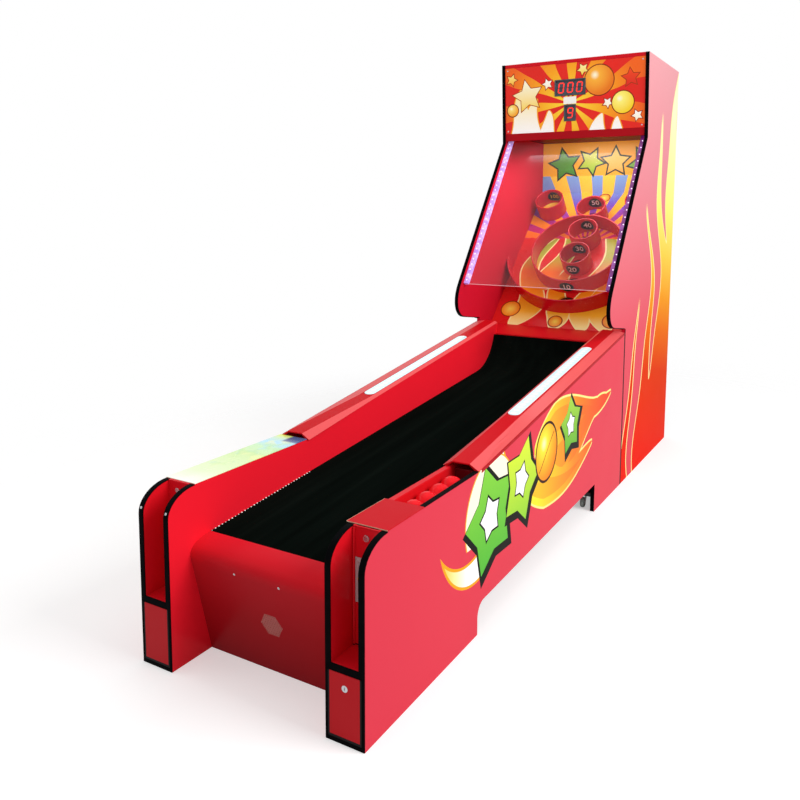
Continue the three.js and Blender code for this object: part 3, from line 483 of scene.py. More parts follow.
moduleArt = {
    "fire": [
        (0.455, -0.50, 0.445, 0.088, 0.052, 5.2, 0.2, 0.09),
        (0.300, -0.56, 0.180, 0.082, 0.036, 4.6, 2.2, 0.02),
        (0.420, -0.34, 0.300, 0.100, 0.044, 5.0, 3.4, 0.03),
        (0.360, -0.16, 0.395, 0.062, 0.040, 4.4, 4.6, 0.12),
    ],
    "tail": ((-0.980, 0.420), 0.235),
    "tailBite": ((-1.030, 0.500), 0.247),
    "halo": ((-0.865, 0.365), 0.185),
    "haloFoot": 0.30,
    "stars": [
        ((-0.870, 0.350), 0.175, 0.25, "4fb53a", "84cf40"),
        ((-0.615, 0.395), 0.150, 0.9, "8ccf3a", "d9ec3c"),
        ((-0.105, 0.475), 0.115, 0.1, "58ad36", "a2d044"),
    ],
    "sharp": 0.64,
    "shadow": (0.010, -0.012),
    "ball": ((-0.375, 0.435), 0.105),
    "light": ((-0.405, 0.473), 0.155),
    "seam": {"waves": 14.0, "sway": 0.030, "lean": 0.5, "half": 0.0035, "inset": 0.008},
}


def printed(paint, x, inside, art):
    # the art on a sheet's outer face, plain colour on its other faces
    outside = abs(x) > machine["halfWidth"] - skin
    return paint.set("Base Color", paint.blend(outside, inside, art)).material


def modulePrint():
    # lane sides: a comet tail, stars, a rolling ball and flames on a pinkish red film, partly painted light,
    # with a painted shade band along the top under the cover
    paint = laminate("lane_side_print", 0.02, 0.0)
    x, y, z = paint.axes()
    fire = flames(paint, z, y, moduleArt["fire"])
    heat = paint.ramp((y + 0.46) / 0.82, (0.0, "ffe62e"), (0.25, "fdb92a"), (0.5, "f5871f"), (0.78, "ec5f1e"),
                      (1.0, "e8431c"))
    # the film's pinkish red is partly its own colour and partly painted light, the glare of the brightly lit
    # side
    art = paint.outlined(paint.mottled("db3b4d", 0.06), fire, 0.009, "ffe98a", heat)
    art = paint.blend(fire > 0.030, art, paint.blend(0.4, heat, "f2581c"))
    tail = disc(y, z, *moduleArt["tail"]) & (0.0 - disc(y, z, *moduleArt["tailBite"]))
    gleam = paint.ramp((y + 1.20) / 0.24, (0.0, "ffc81e"), (0.35, "fff2a8"), (0.7, "ffffff"))
    art = paint.outlined(art, tail, 0.009, "f9a61c", gleam)
    halo = disc(y, z, *moduleArt["halo"])
    art = paint.outlined(art, halo, 0.006, "f9b02c", "fff8dc", z > moduleArt["haloFoot"])
    for (across, height), size, turn, low, high in moduleArt["stars"]:
        def layer(right, up, share):
            return star(paint, y, z, (across + right, height + up), size * share, turn, moduleArt["sharp"])
        fill = paint.ramp((z - height) / size * 0.5 + 0.5, (0.0, low), (1.0, high))
        art = paint.blend(layer(*moduleArt["shadow"], 1.10) > -0.012, art, "030a05")
        art = paint.blend(layer(0.0, 0.0, 1.04) > 0.0, art, fill)
        art = paint.outlined(art, layer(-size * 0.02, size * 0.02, 0.42), size * 0.04, "050f06", "ffffff")
    middle, size = moduleArt["ball"]
    lit = disc(y, z, *moduleArt["light"]) / moduleArt["light"][1]
    fill = paint.ramp(lit, (0.0, "ef7a1c"), (0.45, "f9b326"), (0.8, "ffe43a"), (1.0, "fff9c0"))
    ball = disc(y, z, middle, size)
    art = paint.outlined(art, ball, 0.010, "301004", fill)
    seam, along = moduleArt["seam"], y - middle[0]
    line = paint.sine(along * seam["waves"]) * seam["sway"] - (z - middle[1]) + along * seam["lean"]
    art = paint.blend((ball > seam["inset"]) * (abs(line) < seam["half"]), art, "b0480e")
    # a painted shade band along the side's top edge, under the cover's lip
    under = z > railTop["rise"] + y * railTop["slope"] - railTop["band"]
    art = paint.blend(under * (y > railTop["start"]), art, "ae1420")
    art = paint.blend(y > machine["seamY"] - 0.009, art, "060606")
    return printed(paint, x, paint.mottled("dc1624"), art)


cabinetArt = {
    "row": {"first": 0.805, "pitch": 0.255, "point": 1.02, "from": 0.2, "to": 1.6, "foot": (-2.35, 1.62),
            "reach": (2.1, 0.75), "warp": [(0.095, 4.4, 0.9), (0.025, 10.0, 1.0)]},
    "line": 0.0125,
    "seam": (0.008, 0.764),
}


def cabinetPrint():
    # cabinet sides: tall flames on the rear half, over a red that pales toward the top
    paint = laminate("cabinet_side_print", 0.002, 0.0)
    x, y, z = paint.axes()
    field = paint.ramp(z / 2.1, (0.0, "df4d5c"), (0.35, "df5866"), (0.7, "de8690"), (1.0, "df9ca2"))
    line = cabinetArt["line"]
    fire = flameRow(paint, y, z, cabinetArt["row"])
    outline = fire
    for across, rise in ((line, 0), (-line, 0), (0, line), (0, -line)):
        outline = outline | flameRow(paint, y + across, z + rise, cabinetArt["row"])
    heat = paint.ramp(z / 1.9 + (y - 1.3) * 0.10, (0.0, "e82412"), (0.24, "dc3a08"), (0.36, "e66c0c"),
                      (0.46, "ee9a20"), (0.58, "f6cc4c"), (0.72, "f4ec7c"), (1.0, "f6f4c0"))
    art = paint.blend(outline > 0.0, field, "fdf0a0")
    art = paint.blend(fire > 0.0, art, heat)
    seam = (y < machine["seamY"] + cabinetArt["seam"][0]) * (z < cabinetArt["seam"][1])
    return printed(paint, x, paint.mottled("cf1a33"), paint.blend(seam, art, "060606"))


boardArt = {
    "swirl": [
        (-0.25, -0.24, 0.42, 0.085, 0.050, 7.0, 0.0, 0.05),
        (0.25, -0.24, 0.46, 0.085, 0.050, 7.0, 3.0, -0.05),
        (-0.05, -0.24, 0.24, 0.070, 0.035, 6.0, 1.0, 0.02),
        (0.10, -0.24, 0.16, 0.060, 0.030, 6.0, 2.0, 0.02),
        (-0.12, 0.02, 0.50, 0.070, 0.035, 6.0, 4.0, 0.01),
        (0.14, 0.02, 0.52, 0.070, 0.035, 6.0, 5.0, 0.01),
    ],
    "stars": [
        ((-0.235, 1.600), 0.090, 0.2, "2f8a2c", "6fb63a"),
        ((-0.075, 1.615), 0.075, 0.8, "8cc832", "e8ea4a"),
        ((0.070, 1.610), 0.080, 0.0, "f2a52c", "ffe97a"),
        ((0.235, 1.600), 0.090, 0.5, "3d9a30", "9bcf3c"),
    ],
    "spots": [((-0.30, 0.700), 0.058), ((-0.29, -0.125), 0.050), ((-0.02, -0.190), 0.034),
              ((0.27, -0.16), 0.044), ((0.02, 0.745), 0.030)],
    "crest": (0.86, 1.53),
    "rays": {"middle": 0.36, "count": 22.0, "start": 0.42, "reach": 0.46},
}


def boardPrint():
    # target board and backboard: rays that rise from the middle, over a field of flames
    paint = Paint("board_print", "f2a81e", 0.28, Coat_Weight=0.1, Coat_Roughness=0.08,
                  Specular_IOR_Level=0.2, Emission_Strength=0.14)
    x, y, z = paint.axes()
    up = (y - machine["boardY"]) * cos(boardAngle) + (z - machine["boardZ"]) * sin(boardAngle)
    rays = boardArt["rays"]
    ray = paint.sine(paint.sum("ARCTAN2", x, up - rays["middle"]) * rays["count"]) > -0.1
    height = (up - rays["start"]) / rays["reach"]
    sky = paint.ramp(height, (0.0, "d4145a"), (0.3, "a3248f"), (0.6, "6b4fc0"), (1.0, "7fb4e6"))
    beams = paint.ramp(height, (0.0, "f0701c"), (0.4, "f79f1e"), (1.0, "fbd83c"))
    swirl = flames(paint, x, up, boardArt["swirl"])
    fire = paint.ramp(up / 0.5 + 0.45, (0.0, "fdf0a0"), (0.18, "f8c030"), (0.45, "f59a1c"), (0.75, "f0701e"),
                      (1.0, "b4b436"))
    lower = paint.outlined(paint.mottled("d81e1e", 0.25, 6.0), swirl, 0.008, "fdf3a8", fire)
    edge = paint.noise(9, 2.0) * 0.10 + rays["middle"]
    art = paint.blend(up > edge, lower, paint.blend(ray, sky, beams))
    # a crest of stars on the upright board
    foot, level = boardArt["crest"]
    art = paint.blend((up > foot) * (z > level), art, paint.mottled("f6b41e", 0.15, 5.0))
    art = starRow(paint, art, x, z, boardArt["stars"], 0.009, "1c3312", z > 1.5)
    for centre, size in boardArt["spots"]:
        spot = disc(x, up, centre, size)
        fill = paint.ramp(spot / size, (0.0, "f08a1e"), (1.0, "ffe45a"))
        art = paint.outlined(art, spot, 0.006, "8a2a0c", fill)
    paint.set("Base Color", paint.blend(paint.noise(160, 2.0) * 0.10, art, "701410"))
    # the print glows a little: painted light standing for the light the channel lamps throw on the board
    paint.set("Emission Color", art)
    return paint.worn(0.22, 0.12, 8, 2.0).grain(300, 2.0, 0.0002, 0.2)


marqueeArt = {
    "middle": (-0.012, 1.88),
    "glow": [
        (-0.310, 1.66, 1.965, 0.075, 0.022, 4.6, 0.4, 0.05),
        (-0.225, 1.66, 1.915, 0.062, 0.020, 4.2, 2.0, 0.03),
        (-0.120, 1.68, 1.850, 0.050, 0.014, 4.0, 4.0, -0.02),
        (0.115, 1.67, 1.820, 0.058, 0.014, 3.6, 2.0, 0.05),
        (0.215, 1.68, 1.800, 0.040, 0.010, 3.6, 1.0, 0.03),
    ],
    "stars": [
        ((-0.245, 1.930), 0.085, 0.2, "fbd23c", "fffbe4"),
        ((0.055, 2.045), 0.030, 0.5, "f8d43c", "fff6b0"),
        ((-0.335, 2.020), 0.030, 0.9, "f9b52a", "ffe98a"),
        ((0.300, 1.985), 0.045, 0.1, "d8231c", "ee4a1e"),
        ((0.335, 1.800), 0.028, 0.4, "fff1c8", "ffffff"),
        ((0.185, 1.870), 0.026, 0.7, "fff1c8", "ffffff"),
        ((-0.135, 1.985), 0.028, 0.3, "fff1c8", "ffffff"),
    ],
    "balls": [
        ((0.140, 1.985), 0.074, "e8761a", "fbb13a"),
        ((0.262, 1.868), 0.054, "f7d32c", "fff27a"),
        ((-0.330, 1.860), 0.030, "f7a42c", "ffe27a"),
    ],
    "patch": {"middle": (-0.013, 1.895), "half": (0.034, 0.018)},
}


def marqueePrint():
    # back-lit panel: hot rays, stars and balls round the two windows
    paint = Paint("marquee_print", "f08a24", 0.2, Coat_Weight=0.1, Coat_Roughness=0.05,
                  Specular_IOR_Level=0.15, Emission_Strength=0.18)
    x, y, z = paint.axes()
    du, dv = x - marqueeArt["middle"][0], z - marqueeArt["middle"][1]
    ray = paint.sine(paint.sum("ARCTAN2", du, dv) * 11.0 + paint.noise(5, 1.0) * 2.0)
    blaze = paint.ramp((du * du + dv * dv) ** 0.5 / 0.36, (0.0, "ffe23c"), (0.5, "f9a51e"), (1.0, "f0641c"))
    art = paint.blend(ray > 0.1, paint.mottled("e2261c", 0.2, 6.0), blaze)
    glow = flames(paint, x, z, marqueeArt["glow"])
    pale = paint.ramp((z - 1.73) / 0.22, (0.0, "ffffff"), (0.5, "fff3d6"), (1.0, "fde98a"))
    art = paint.outlined(art, glow, 0.006, "f7a421", pale)
    art = starRow(paint, art, x, z, marqueeArt["stars"], 0.004, "a3340e")
    for (across, height), size, low, high in marqueeArt["balls"]:
        light = disc(x, z, (across - size * 0.3, height + size * 0.35), size * 1.3) / (size * 1.3)
        fill = paint.ramp(light, (0.0, low), (0.75, high), (1.0, "ffffe0"))
        art = paint.outlined(art, disc(x, z, (across, height), size), 0.005, "7c2408", fill)
    (across, height), (halfWidth, halfHeight) = marqueeArt["patch"].values()
    patch = (abs(x - across) < halfWidth) * (abs(z - height) < halfHeight)
    return paint.glow(paint.blend(patch, art, "f4f4ee")).worn(0.16, 0.08, 8, 2.0).grain(350, 2.0, 0.0001, 0.2)


plate = {"start": -1.49, "length": 0.53, "corner": (-0.34, -0.325)}


def plateFilm():
    # pale printed film: whitish at the front, then yellow-green, then blue patches; it glows a little as
    # painted light, and has a painted shadow in its rear corner
    paint = Paint("plate_film", "e9efe6", 0.25, Coat_Weight=0.1, Coat_Roughness=0.06,
                  Specular_IOR_Level=0.2, Emission_Strength=0.20)
    x, y, z = paint.axes()
    t = paint.clamp((y - plate["start"]) / plate["length"])
    wash = paint.ramp(t + (paint.noise(9, 2.0) - 0.5) * 0.2, (0.0, "f3f8ec"), (0.2, "dfeec2"),
                      (0.5, "cfe7a6"), (0.74, "c2e6b6"), (0.86, "aedaf2"), (1.0, "d8e668"))
    blotch = paint.step(paint.noise(22, 2.0, (1, 0.6, 1)), 0.54, 0.60) * paint.step(t, 0.15, 0.45)
    patches = paint.ramp(paint.noise(14, 1.0), (0.35, "eeeea0"), (0.5, "b4dc8a"), (0.65, "a9d8e4"))
    # a dark blue painted shadow in the rear corner, under the cover
    corner = paint.step(t, 0.86, 0.9) * paint.step(x, *plate["corner"])
    tone = paint.blend(corner * 0.9, paint.blend(blotch * 0.5, wash, patches), "1d2f86")
    return paint.glow(tone).worn(0.2, 0.12, 30, 3.0).grain(300, 2.0, 0.0001, 0.2)


# Other finishes

def grained(name, code, rough, pattern, stops, wear, grain, **fixed):
    # a noise with its colours, the wear of the shine, and a fine relief
    paint = Paint(name, code, rough, **fixed)
    paint.set("Base Color", paint.ramp(paint.noise(*pattern), *stops))
    return paint.worn(*wear).grain(*grain)


def rearBoard():
    return grained("black_rear_board", "161618", 0.6, (40, 5.0, (1, 1, 0.3)),
                   [(0.3, "0e0e10"), (0.8, "232327")], (0.5, 0.25, 18, 3.0), (600, 3.0, 0.0003, 0.5))


def steel(name, code, rough, metal=0.95):
    paint = Paint(name, code, rough, Metallic=metal)
    lines = paint.noise(260, 3.0, (1, 0.06, 0.06))
    paint.set("Base Color", paint.blend(lines * 0.5, code, "7b7e83"))
    paint.set("Roughness", rough - 0.08 + lines * 0.25)
    return paint.bump(lines, 0.0001, 0.3).material


def laneRubber():
    # short-pile black mat, a little green, with rubbed streaks along the lane
    paint = Paint("lane_mat", "0c110e", 0.85, Specular_IOR_Level=0.0)
    streaks = paint.noise(9, 4.0, (3.0, 0.12, 1))
    paint.set("Base Color", paint.ramp(streaks * 0.6 + paint.noise(700, 2.0) * 0.4, (0.25, "050706"),
                                       (0.55, "0b110e"), (0.85, "151c18")))
    return paint.set("Roughness", 0.62 + streaks * 0.25).grain(1400, 2.0, 0.0006, 0.6)


def fibreBoard():
    paint = Paint("fibre_board", "a97c50", 0.75)
    grain = paint.noise(26, 6.0, (1.6, 0.16, 1.6), 0.6)
    paint.set("Base Color", paint.ramp(grain, (0.25, "8a6038"), (0.5, "ac8152"), (0.8, "c9a478")))
    paint.set("Roughness", 0.62 + grain * 0.25)
    return paint.bump(grain, 0.0006, 0.5).material


stripLamps = {"pitch": 0.03, "across": 0.3095, "core": 0.003, "edge": 0.014}


def lensPlastic():
    # opal strip with the row of lamps showing through
    paint = Paint("opal_lens", "e4f4f6", 0.3, Coat_Weight=0.5, Coat_Roughness=0.05, Emission_Strength=0.35)
    x, y, z = paint.axes()
    beat = (y + 10.0) % stripLamps["pitch"] - stripLamps["pitch"] / 2
    off = abs(x) - stripLamps["across"]
    spot = 1.0 - paint.step((beat * beat + off * off) ** 0.5, stripLamps["core"], stripLamps["edge"])
    tone = paint.blend(spot, "cdeaf0", "ffffff")
    return paint.glow(paint.blend(paint.noise(12, 2.0) * 0.25, tone, "b4e3ea")).grain(250, 2.0, 0.0001, 0.15)


def channelGlow(name="channel_glow", tones=("b183ec", "d2b6fa", "efe2ff"), strength=0.35):
    paint = Paint(name, tones[1], 0.3, Emission_Strength=strength)
    tone = paint.ramp(paint.noise(40, 2.0, (0.3, 1, 1)), (0.3, tones[0]), (0.55, tones[1]), (0.8, tones[2]))
    return paint.glow(tone).grain(300, 2.0, 0.0002, 0.2)


def clearSheet():
    # clear acrylic: nearly invisible, with a faint even haze
    paint = Paint("clear_acrylic", "e8eef8", 0.05, Specular_IOR_Level=0.1)
    paint.set("Alpha", 0.014 + paint.noise(4, 4.0, (1, 1, 0.4)) * 0.014)
    return paint.worn(0.04, 0.05, 30, 3.0).material


def yellowButton():
    paint = Paint("yellow_button", "f2c21a", 0.3, Coat_Weight=0.3)
    paint.set("Base Color", paint.mottled("f2c21a", 0.15, 80.0))
    return paint.worn(0.25, 0.2, 160, 2.0).grain(900, 2.0, 0.0001, 0.3)


def plain(name, code, rough, scale=60.0):
    paint = Paint(name, code, rough)
    paint.set("Base Color", paint.mottled(code, 0.12, scale))
    return paint.worn(rough - 0.05, 0.12, scale * 2, 2.0).grain(scale * 12, 2.0, 0.0001, 0.25)


def lit(name, code, strength):
    paint = Paint(name, code, 0.3, Emission_Strength=strength)
    return paint.glow(paint.mottled(code, 0.15, 40.0)).grain(500, 2.0, 0.0001, 0.2)


# by slot of the CAD, by node where one has a finish of its own, and by name for the small fittings
finishes = {
    "red_board": laminate("red_laminate").material,
    "black_edging": grained("black_moulding", "0a0a0b", 0.45, (30, 4.0), [(0.3, "030304"), (0.75, "0a0a0c")],
                            (0.38, 0.22, 45, 3.0), (900, 2.0, 0.0002, 0.35), Specular_IOR_Level=0.012),
    "lock_steel": steel("lock_chrome", "c3c6ca", 0.2),
    "red_metal": redSteel(),
    "mechanism_steel": steel("mechanism_steel", "d6d2d4", 0.36, 0.45),
    "yellow_button": yellowButton(),
    "lane_mat": laneRubber(),
    "plain_board": fibreBoard(),
    "pale_plate": plateFilm(),
    "red_plastic": coverPaint(),
    "light_lens": lensPlastic(),
    "ball_red": ballRed(),
    "castor_steel": steel("castor_zinc", "c2cac6", 0.4, 0.5),
    "castor_rubber": grained("castor_rubber", "55575b", 0.7, (80, 4.0), [(0.3, "68706e"), (0.75, "98a29e")],
                             (0.6, 0.25, 120, 3.0), (600, 3.0, 0.0003, 0.4)),
    "rear_board": rearBoard(),
    "marquee_print": marqueePrint(),
    "display_case": grained("display_case", "29343f", 0.35, (60, 3.0), [(0.3, "1d2833"), (0.8, "3b4c5c")],
                            (0.3, 0.2, 100, 2.0), (800, 2.0, 0.0002, 0.3), Coat_Weight=0.2),
    "target_print": boardPrint(),
    "light_channel": channelGlow(),
    "clear_sheet": clearSheet(),
    "ring_plastic": ringPlastic(),
    # the inner left side gets a brighter red than the other sheets, as painted light
    "left_inner_side": laminate("painted_light_laminate", code="f61e30").material,
    "front_panel": panelRed(),
    # the coin door's dark band along its foot is a painted shadow of the gap under the door
    "coin_door": doorPaint("coin_door_laminate", {"half": 0.1, "foot": 0.2106, "colour": "2c0306"}, "dc1624"),
    "right_top_plate": redSteel("plate_paint", "cc1622", 0.02, 0.0),
    "ball_gate": redSteel("gate_paint", "74101a"),
    "header_ceiling": ceilingPaint(),
    "right_light_channel": channelGlow("dim_channel_glow", ("7a1c7c", "9a3aa8", "b96fd0"), 0.12),
    "castor_board": rearBoard(),
    "screw_zinc": steel("screw_zinc", "d6d8da", 0.25, 0.5),
}
blackBorder = {"half": 0.0455, "foot": 0.0195, "colour": "050506"}
for name, paintName in [("left_lower_panel", "left_panel_laminate"),
                        ("right_lower_door", "lower_door_laminate")]:
    finishes[name] = doorPaint(paintName, blackBorder)
for piece, material in [("outer", modulePrint()), ("cabinet", cabinetPrint())]:
    for hand in ("left_", "right_"):
        finishes[hand + piece + "_side"] = material
for name, code, rough in [("label_black", "0b0c0c", 0.35), ("label_white", "eef4ea", 0.4),
                          ("label_yellow", "e6c32c", 0.4), ("digit_dark", "4a0c0e", 0.4),
                          ("pale_edge", "d9a98c", 0.4), ("drilled_rim", "dc988e", 0.5),
                          ("speaker_cloth", "8a4c4a", 0.7)]:
    finishes[name] = plain(name, code, rough)
for name, code, strength in [("digit_red", "f0281c", 0.9), ("lamp_white", "f6ecff", 1.3),
                             ("bead_pale", "f2f4ee", 0.25), ("edge_glow", "f3c9d2", 0.25)]:
    finishes[name] = lit(name, code, strength)
print("finishes ready")


# Shared modelling steps

origin = (0, 0, 0)


def clearSelection():
    for thing in list(bpy.context.selected_objects):
        thing.select_set(False)


def take(name):
    piece = bpy.context.active_object
    piece.name = name
    piece.data.name = name
    return piece


def started(name, add, **sizes):
    # a new piece, begun with one of the mesh operators
    clearSelection()
    add(**sizes)
    return take(name)


def focus(piece):
    clearSelection()
    piece.select_set(True)
    bpy.context.view_layer.objects.active = piece


def settle(piece):
    focus(piece)
    bpy.ops.object.transform_apply(location=True, rotation=True, scale=True)


def edit(piece):
    focus(piece)
    bpy.ops.object.mode_set(mode="EDIT")


def leave():
    bpy.ops.object.mode_set(mode="OBJECT")


def selectAll():
    bpy.ops.mesh.select_all(action="SELECT")


def pick(piece, kind, test):
    mesh = bmesh.from_edit_mesh(piece.data)
    bpy.ops.mesh.select_mode(type=kind)
    bpy.ops.mesh.select_all(action="DESELECT")
    for part in {"VERT": mesh.verts, "EDGE": mesh.edges, "FACE": mesh.faces}[kind]:
        part.select = bool(test(part))
    mesh.select_flush_mode()
    bmesh.update_edit_mesh(piece.data)


def resize(across, along, up):
    bpy.ops.transform.resize(value=(across, along, up), center_override=origin)


def slide(across, along, up):
    bpy.ops.transform.translate(value=(across, along, up))


def cutOff(place, normal):
    # what lies on the normal's side of a plane goes, and the cut is closed
    selectAll()
    bpy.ops.mesh.bisect(plane_co=place, plane_no=normal, use_fill=True, clear_outer=True)


def faceOut():
    selectAll()
    bpy.ops.mesh.normals_make_consistent(inside=False)


def modify(piece, kind, **settings):
    focus(piece)
    modifier = piece.modifiers.new(kind.lower(), kind)
    for key, value in settings.items():
        setattr(modifier, key, value)
    bpy.ops.object.modifier_apply(modifier=modifier.name)


def bevelled(piece, width, segments, **settings):
    modify(piece, "BEVEL", width=width, segments=segments, limit_method="ANGLE", angle_limit=radians(40),
           **settings)


def smooth(piece, angle):
    focus(piece)
    bpy.ops.object.shade_smooth_by_angle(angle=radians(angle))


slots = {name: node.data.materials[0].name.split(".")[0] for name, node in nodes.items()}


def finish(piece, material, slot, body="machine", *stands):
    piece.data.materials.clear()
    piece.data.materials.append(finishes[material])
    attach(piece, body)
    if stands:
        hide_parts(*stands)
    return piece


def surface(node, start, toward):
    # where a ray from start first meets a node, and which way the surface faces there
    thing = nodes[node]
    corners = [thing.matrix_world @ vertex.co for vertex in thing.data.vertices]
    tree = BVHTree.FromPolygons(corners, [face.vertices for face in thing.data.polygons])
    place, normal, face, far = tree.ray_cast(Vector(start), Vector(toward))
    return place, normal


def fromFront(node, x, z):
    return surface(node, (x, -machine["clear"], z), (0, 1, 0))


def fromRear(node, x, z):
    return surface(node, (x, machine["clear"], z), (0, -1, 0))


def middleOf(node):
    low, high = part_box(node)
    return (Vector(low) + Vector(high)) / 2


def put(piece, place):
    piece.matrix_world = place
    settle(piece)
    return piece


def joined(name, pieces):
    clearSelection()
    for piece in pieces:
        piece.select_set(True)
    bpy.context.view_layer.objects.active = pieces[0]
    bpy.ops.object.join()
    return take(name)


def copied(piece, place):
    twin = piece.copy()
    twin.data = piece.data.copy()
    bpy.context.scene.collection.objects.link(twin)
    return put(twin, place)


def spread(name, pattern, places):
    # copies of one modelled piece, joined in one
    twins = [copied(pattern, place) for place in places]
    bpy.data.objects.remove(pattern)
    return joined(name, twins)


def dome(radius, flat, segments=12, rings=8):
    # the upper half of a ball and a little more, pressed flat
    piece = started("dome", bpy.ops.mesh.primitive_uv_sphere_add, segments=segments,
                    ring_count=rings, radius=radius)
    edit(piece)
    cutOff((0, 0, -radius * 0.2), (0, 0, -1))
    selectAll()
    resize(1, 1, flat)
    leave()
    return piece


def block(size, bevel):
    piece = started("block", bpy.ops.mesh.primitive_cube_add, size=1)
    piece.scale = size
    settle(piece)
    modify(piece, "BEVEL", width=bevel, segments=2)
    return piece


def bar(name, size, bevel, place, material, slot, body="machine"):
    # a small bevelled block round its middle
    piece = put(block(size, bevel), place if isinstance(place, Matrix) else Matrix.Translation(place))
    piece.name = name
    return finish(piece, material, slot, body)


def facing(place, normal):
    return Matrix.Translation(place) @ normal.to_track_quat("Z", "Y").to_matrix().to_4x4()


# CAD nodes: their edges get their small real radius, by slot

edges = {
    "black_edging": (0.0012, 3), "red_board": (0.0008, 2), "lock_steel": (0.0005, 2),
    "red_metal": (0.0006, 2), "mechanism_steel": (0.0006, 2), "yellow_button": (0.0008, 3),
    "plain_board": (0.0008, 1), "pale_plate": (0.0006, 2), "red_plastic": (0.0016, 3),
    "light_lens": (0.0012, 3), "castor_steel": (0.0005, 2), "castor_rubber": (0.0012, 3),
    "rear_board": (0.0008, 2), "marquee_print": (0.0006, 1), "display_case": (0.0012, 3),
    "light_channel": (0.0005, 1),
}
repair = {"weld": 0.00002, "flat": 0.3, "smooth": 35, "coverSmooth": 6}
plainNodes = {"lane_mat", "lane_deck", "clear_shield", "target_board", "backboard"}
cupNames = ["cup_30", "cup_40", "cup_50", "left_corner_cup", "right_corner_cup"]
ballTurns = {"ball_1": (0.4, 0.9, 0.0), "ball_2": (1.2, 0.3, 0.5), "ball_3": (0.1, 1.4, 1.0),
             "ball_4": (0.8, 0.6, 2.0)}
rebuilt = {"big_ring", "outer_ring", *cupNames, *ballTurns}


def soften(name):
    source, slot = nodes[name], slots[name]
    piece = linked(name + "_finished", source.data.copy())
    edit(piece)
    bpy.ops.mesh.select_mode(type="VERT")
    selectAll()
    bpy.ops.mesh.remove_doubles(threshold=repair["weld"])
    bpy.ops.mesh.dissolve_limited(angle_limit=radians(repair["flat"]))
    leave()
    bevelled(piece, *edges[slot], use_clamp_overlap=True, harden_normals=False)
    smooth(piece, repair["coverSmooth" if slot == "red_plastic" else "smooth"])
    modify(piece, "WEIGHTED_NORMAL", keep_sharp=True)
    return finish(piece, name if name in finishes else slot, slot, source["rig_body"], name)


def dressFrame():
    for name in sorted(nodes):
        if name in plainNodes:
            for materialSlot in nodes[name].material_slots:
                materialSlot.material = finishes[slots[name]]
        elif name not in rebuilt:
            soften(name)
    print("frame dressed")


# Rings and cups: walls with a rounded rim, spun round their middle on the board

wall = {"height": 0.100, "rise": 0.0003, "ring": 0.008, "cup": 0.007, "rim": 0.0028, "relief": 0.001,
        "weld": 0.00001}
ring = {"middle": 0.2570, "radius": 0.2510, "outerRadius": 0.3883, "side": 0.3710}


def cupPlace(name):
    middle = boardPlace.inverted() @ middleOf(name)
    return Vector((middle.x, middle.y, 0))


def cupRadius(name):
    low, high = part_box(name)
    return (high[0] - low[0]) / 2


def turnedWall(name, radius, thickness, steps):
    piece = started(name, bpy.ops.mesh.primitive_plane_add, size=1)
    edit(piece)
    rise = wall["height"] - wall["rise"]
    bpy.ops.transform.rotate(value=radians(90), orient_axis="X", center_override=origin)
    resize(thickness, 1, rise)
    slide(radius - thickness / 2, 0, wall["rise"] + rise / 2)
    pick(piece, "VERT", lambda vertex: vertex.co.z > wall["height"] / 2)
    bpy.ops.mesh.bevel(offset=wall["rim"], segments=5, affect="VERTICES")
    selectAll()
    bpy.ops.mesh.delete(type="ONLY_FACE")
    selectAll()
    bpy.ops.mesh.spin(steps=steps, angle=2 * pi, center=origin, axis=(0, 0, 1))
    selectAll()
    bpy.ops.mesh.remove_doubles(threshold=wall["weld"])
    faceOut()
    leave()
    return piece


def standing(piece, place, name):
    put(piece, place)
    smooth(piece, 30)
    finish(piece, "ring_plastic", "ring_plastic", "machine", name)


def makeCups():
    for name in cupNames:
        piece = turnedWall(name + "_turned", cupRadius(name), wall["cup"], 80)
        standing(piece, boardPlace @ Matrix.Translation(cupPlace(name)), name)


def makeRings():
    # the big ring is relieved round the cup that stands in it
    big = turnedWall("big_ring_turned", ring["radius"], wall["ring"], 144)
    put(big, Matrix.Translation((0, ring["middle"], 0)))
    cutter = started("relief", bpy.ops.mesh.primitive_cylinder_add, vertices=96,
                     radius=cupRadius("cup_50") + wall["relief"], depth=wall["height"] * 3,
                     location=cupPlace("cup_50"))
    settle(cutter)
    modify(big, "BOOLEAN", operation="DIFFERENCE", object=cutter, solver="EXACT")
    bpy.data.objects.remove(cutter)
    standing(big, boardPlace, "big_ring")

    # the outer ring is the half below, cut off at the cabinet's sides
    outer = turnedWall("outer_ring_turned", ring["outerRadius"], wall["ring"], 192)
    edit(outer)
    cutOff(origin, (0, 1, 0))
    cutOff((ring["side"], 0, 0), (1, 0, 0))
    cutOff((-ring["side"], 0, 0), (-1, 0, 0))
    faceOut()
    leave()
    standing(outer, boardPlace @ Matrix.Translation((0, ring["middle"], 0)), "outer_ring")


# Balls, each with a fine seam at its own slant

ballSeam = {"width": 0.0011, "sunk": 0.984, "onPlane": 0.0001, "clearance": 0.0001}


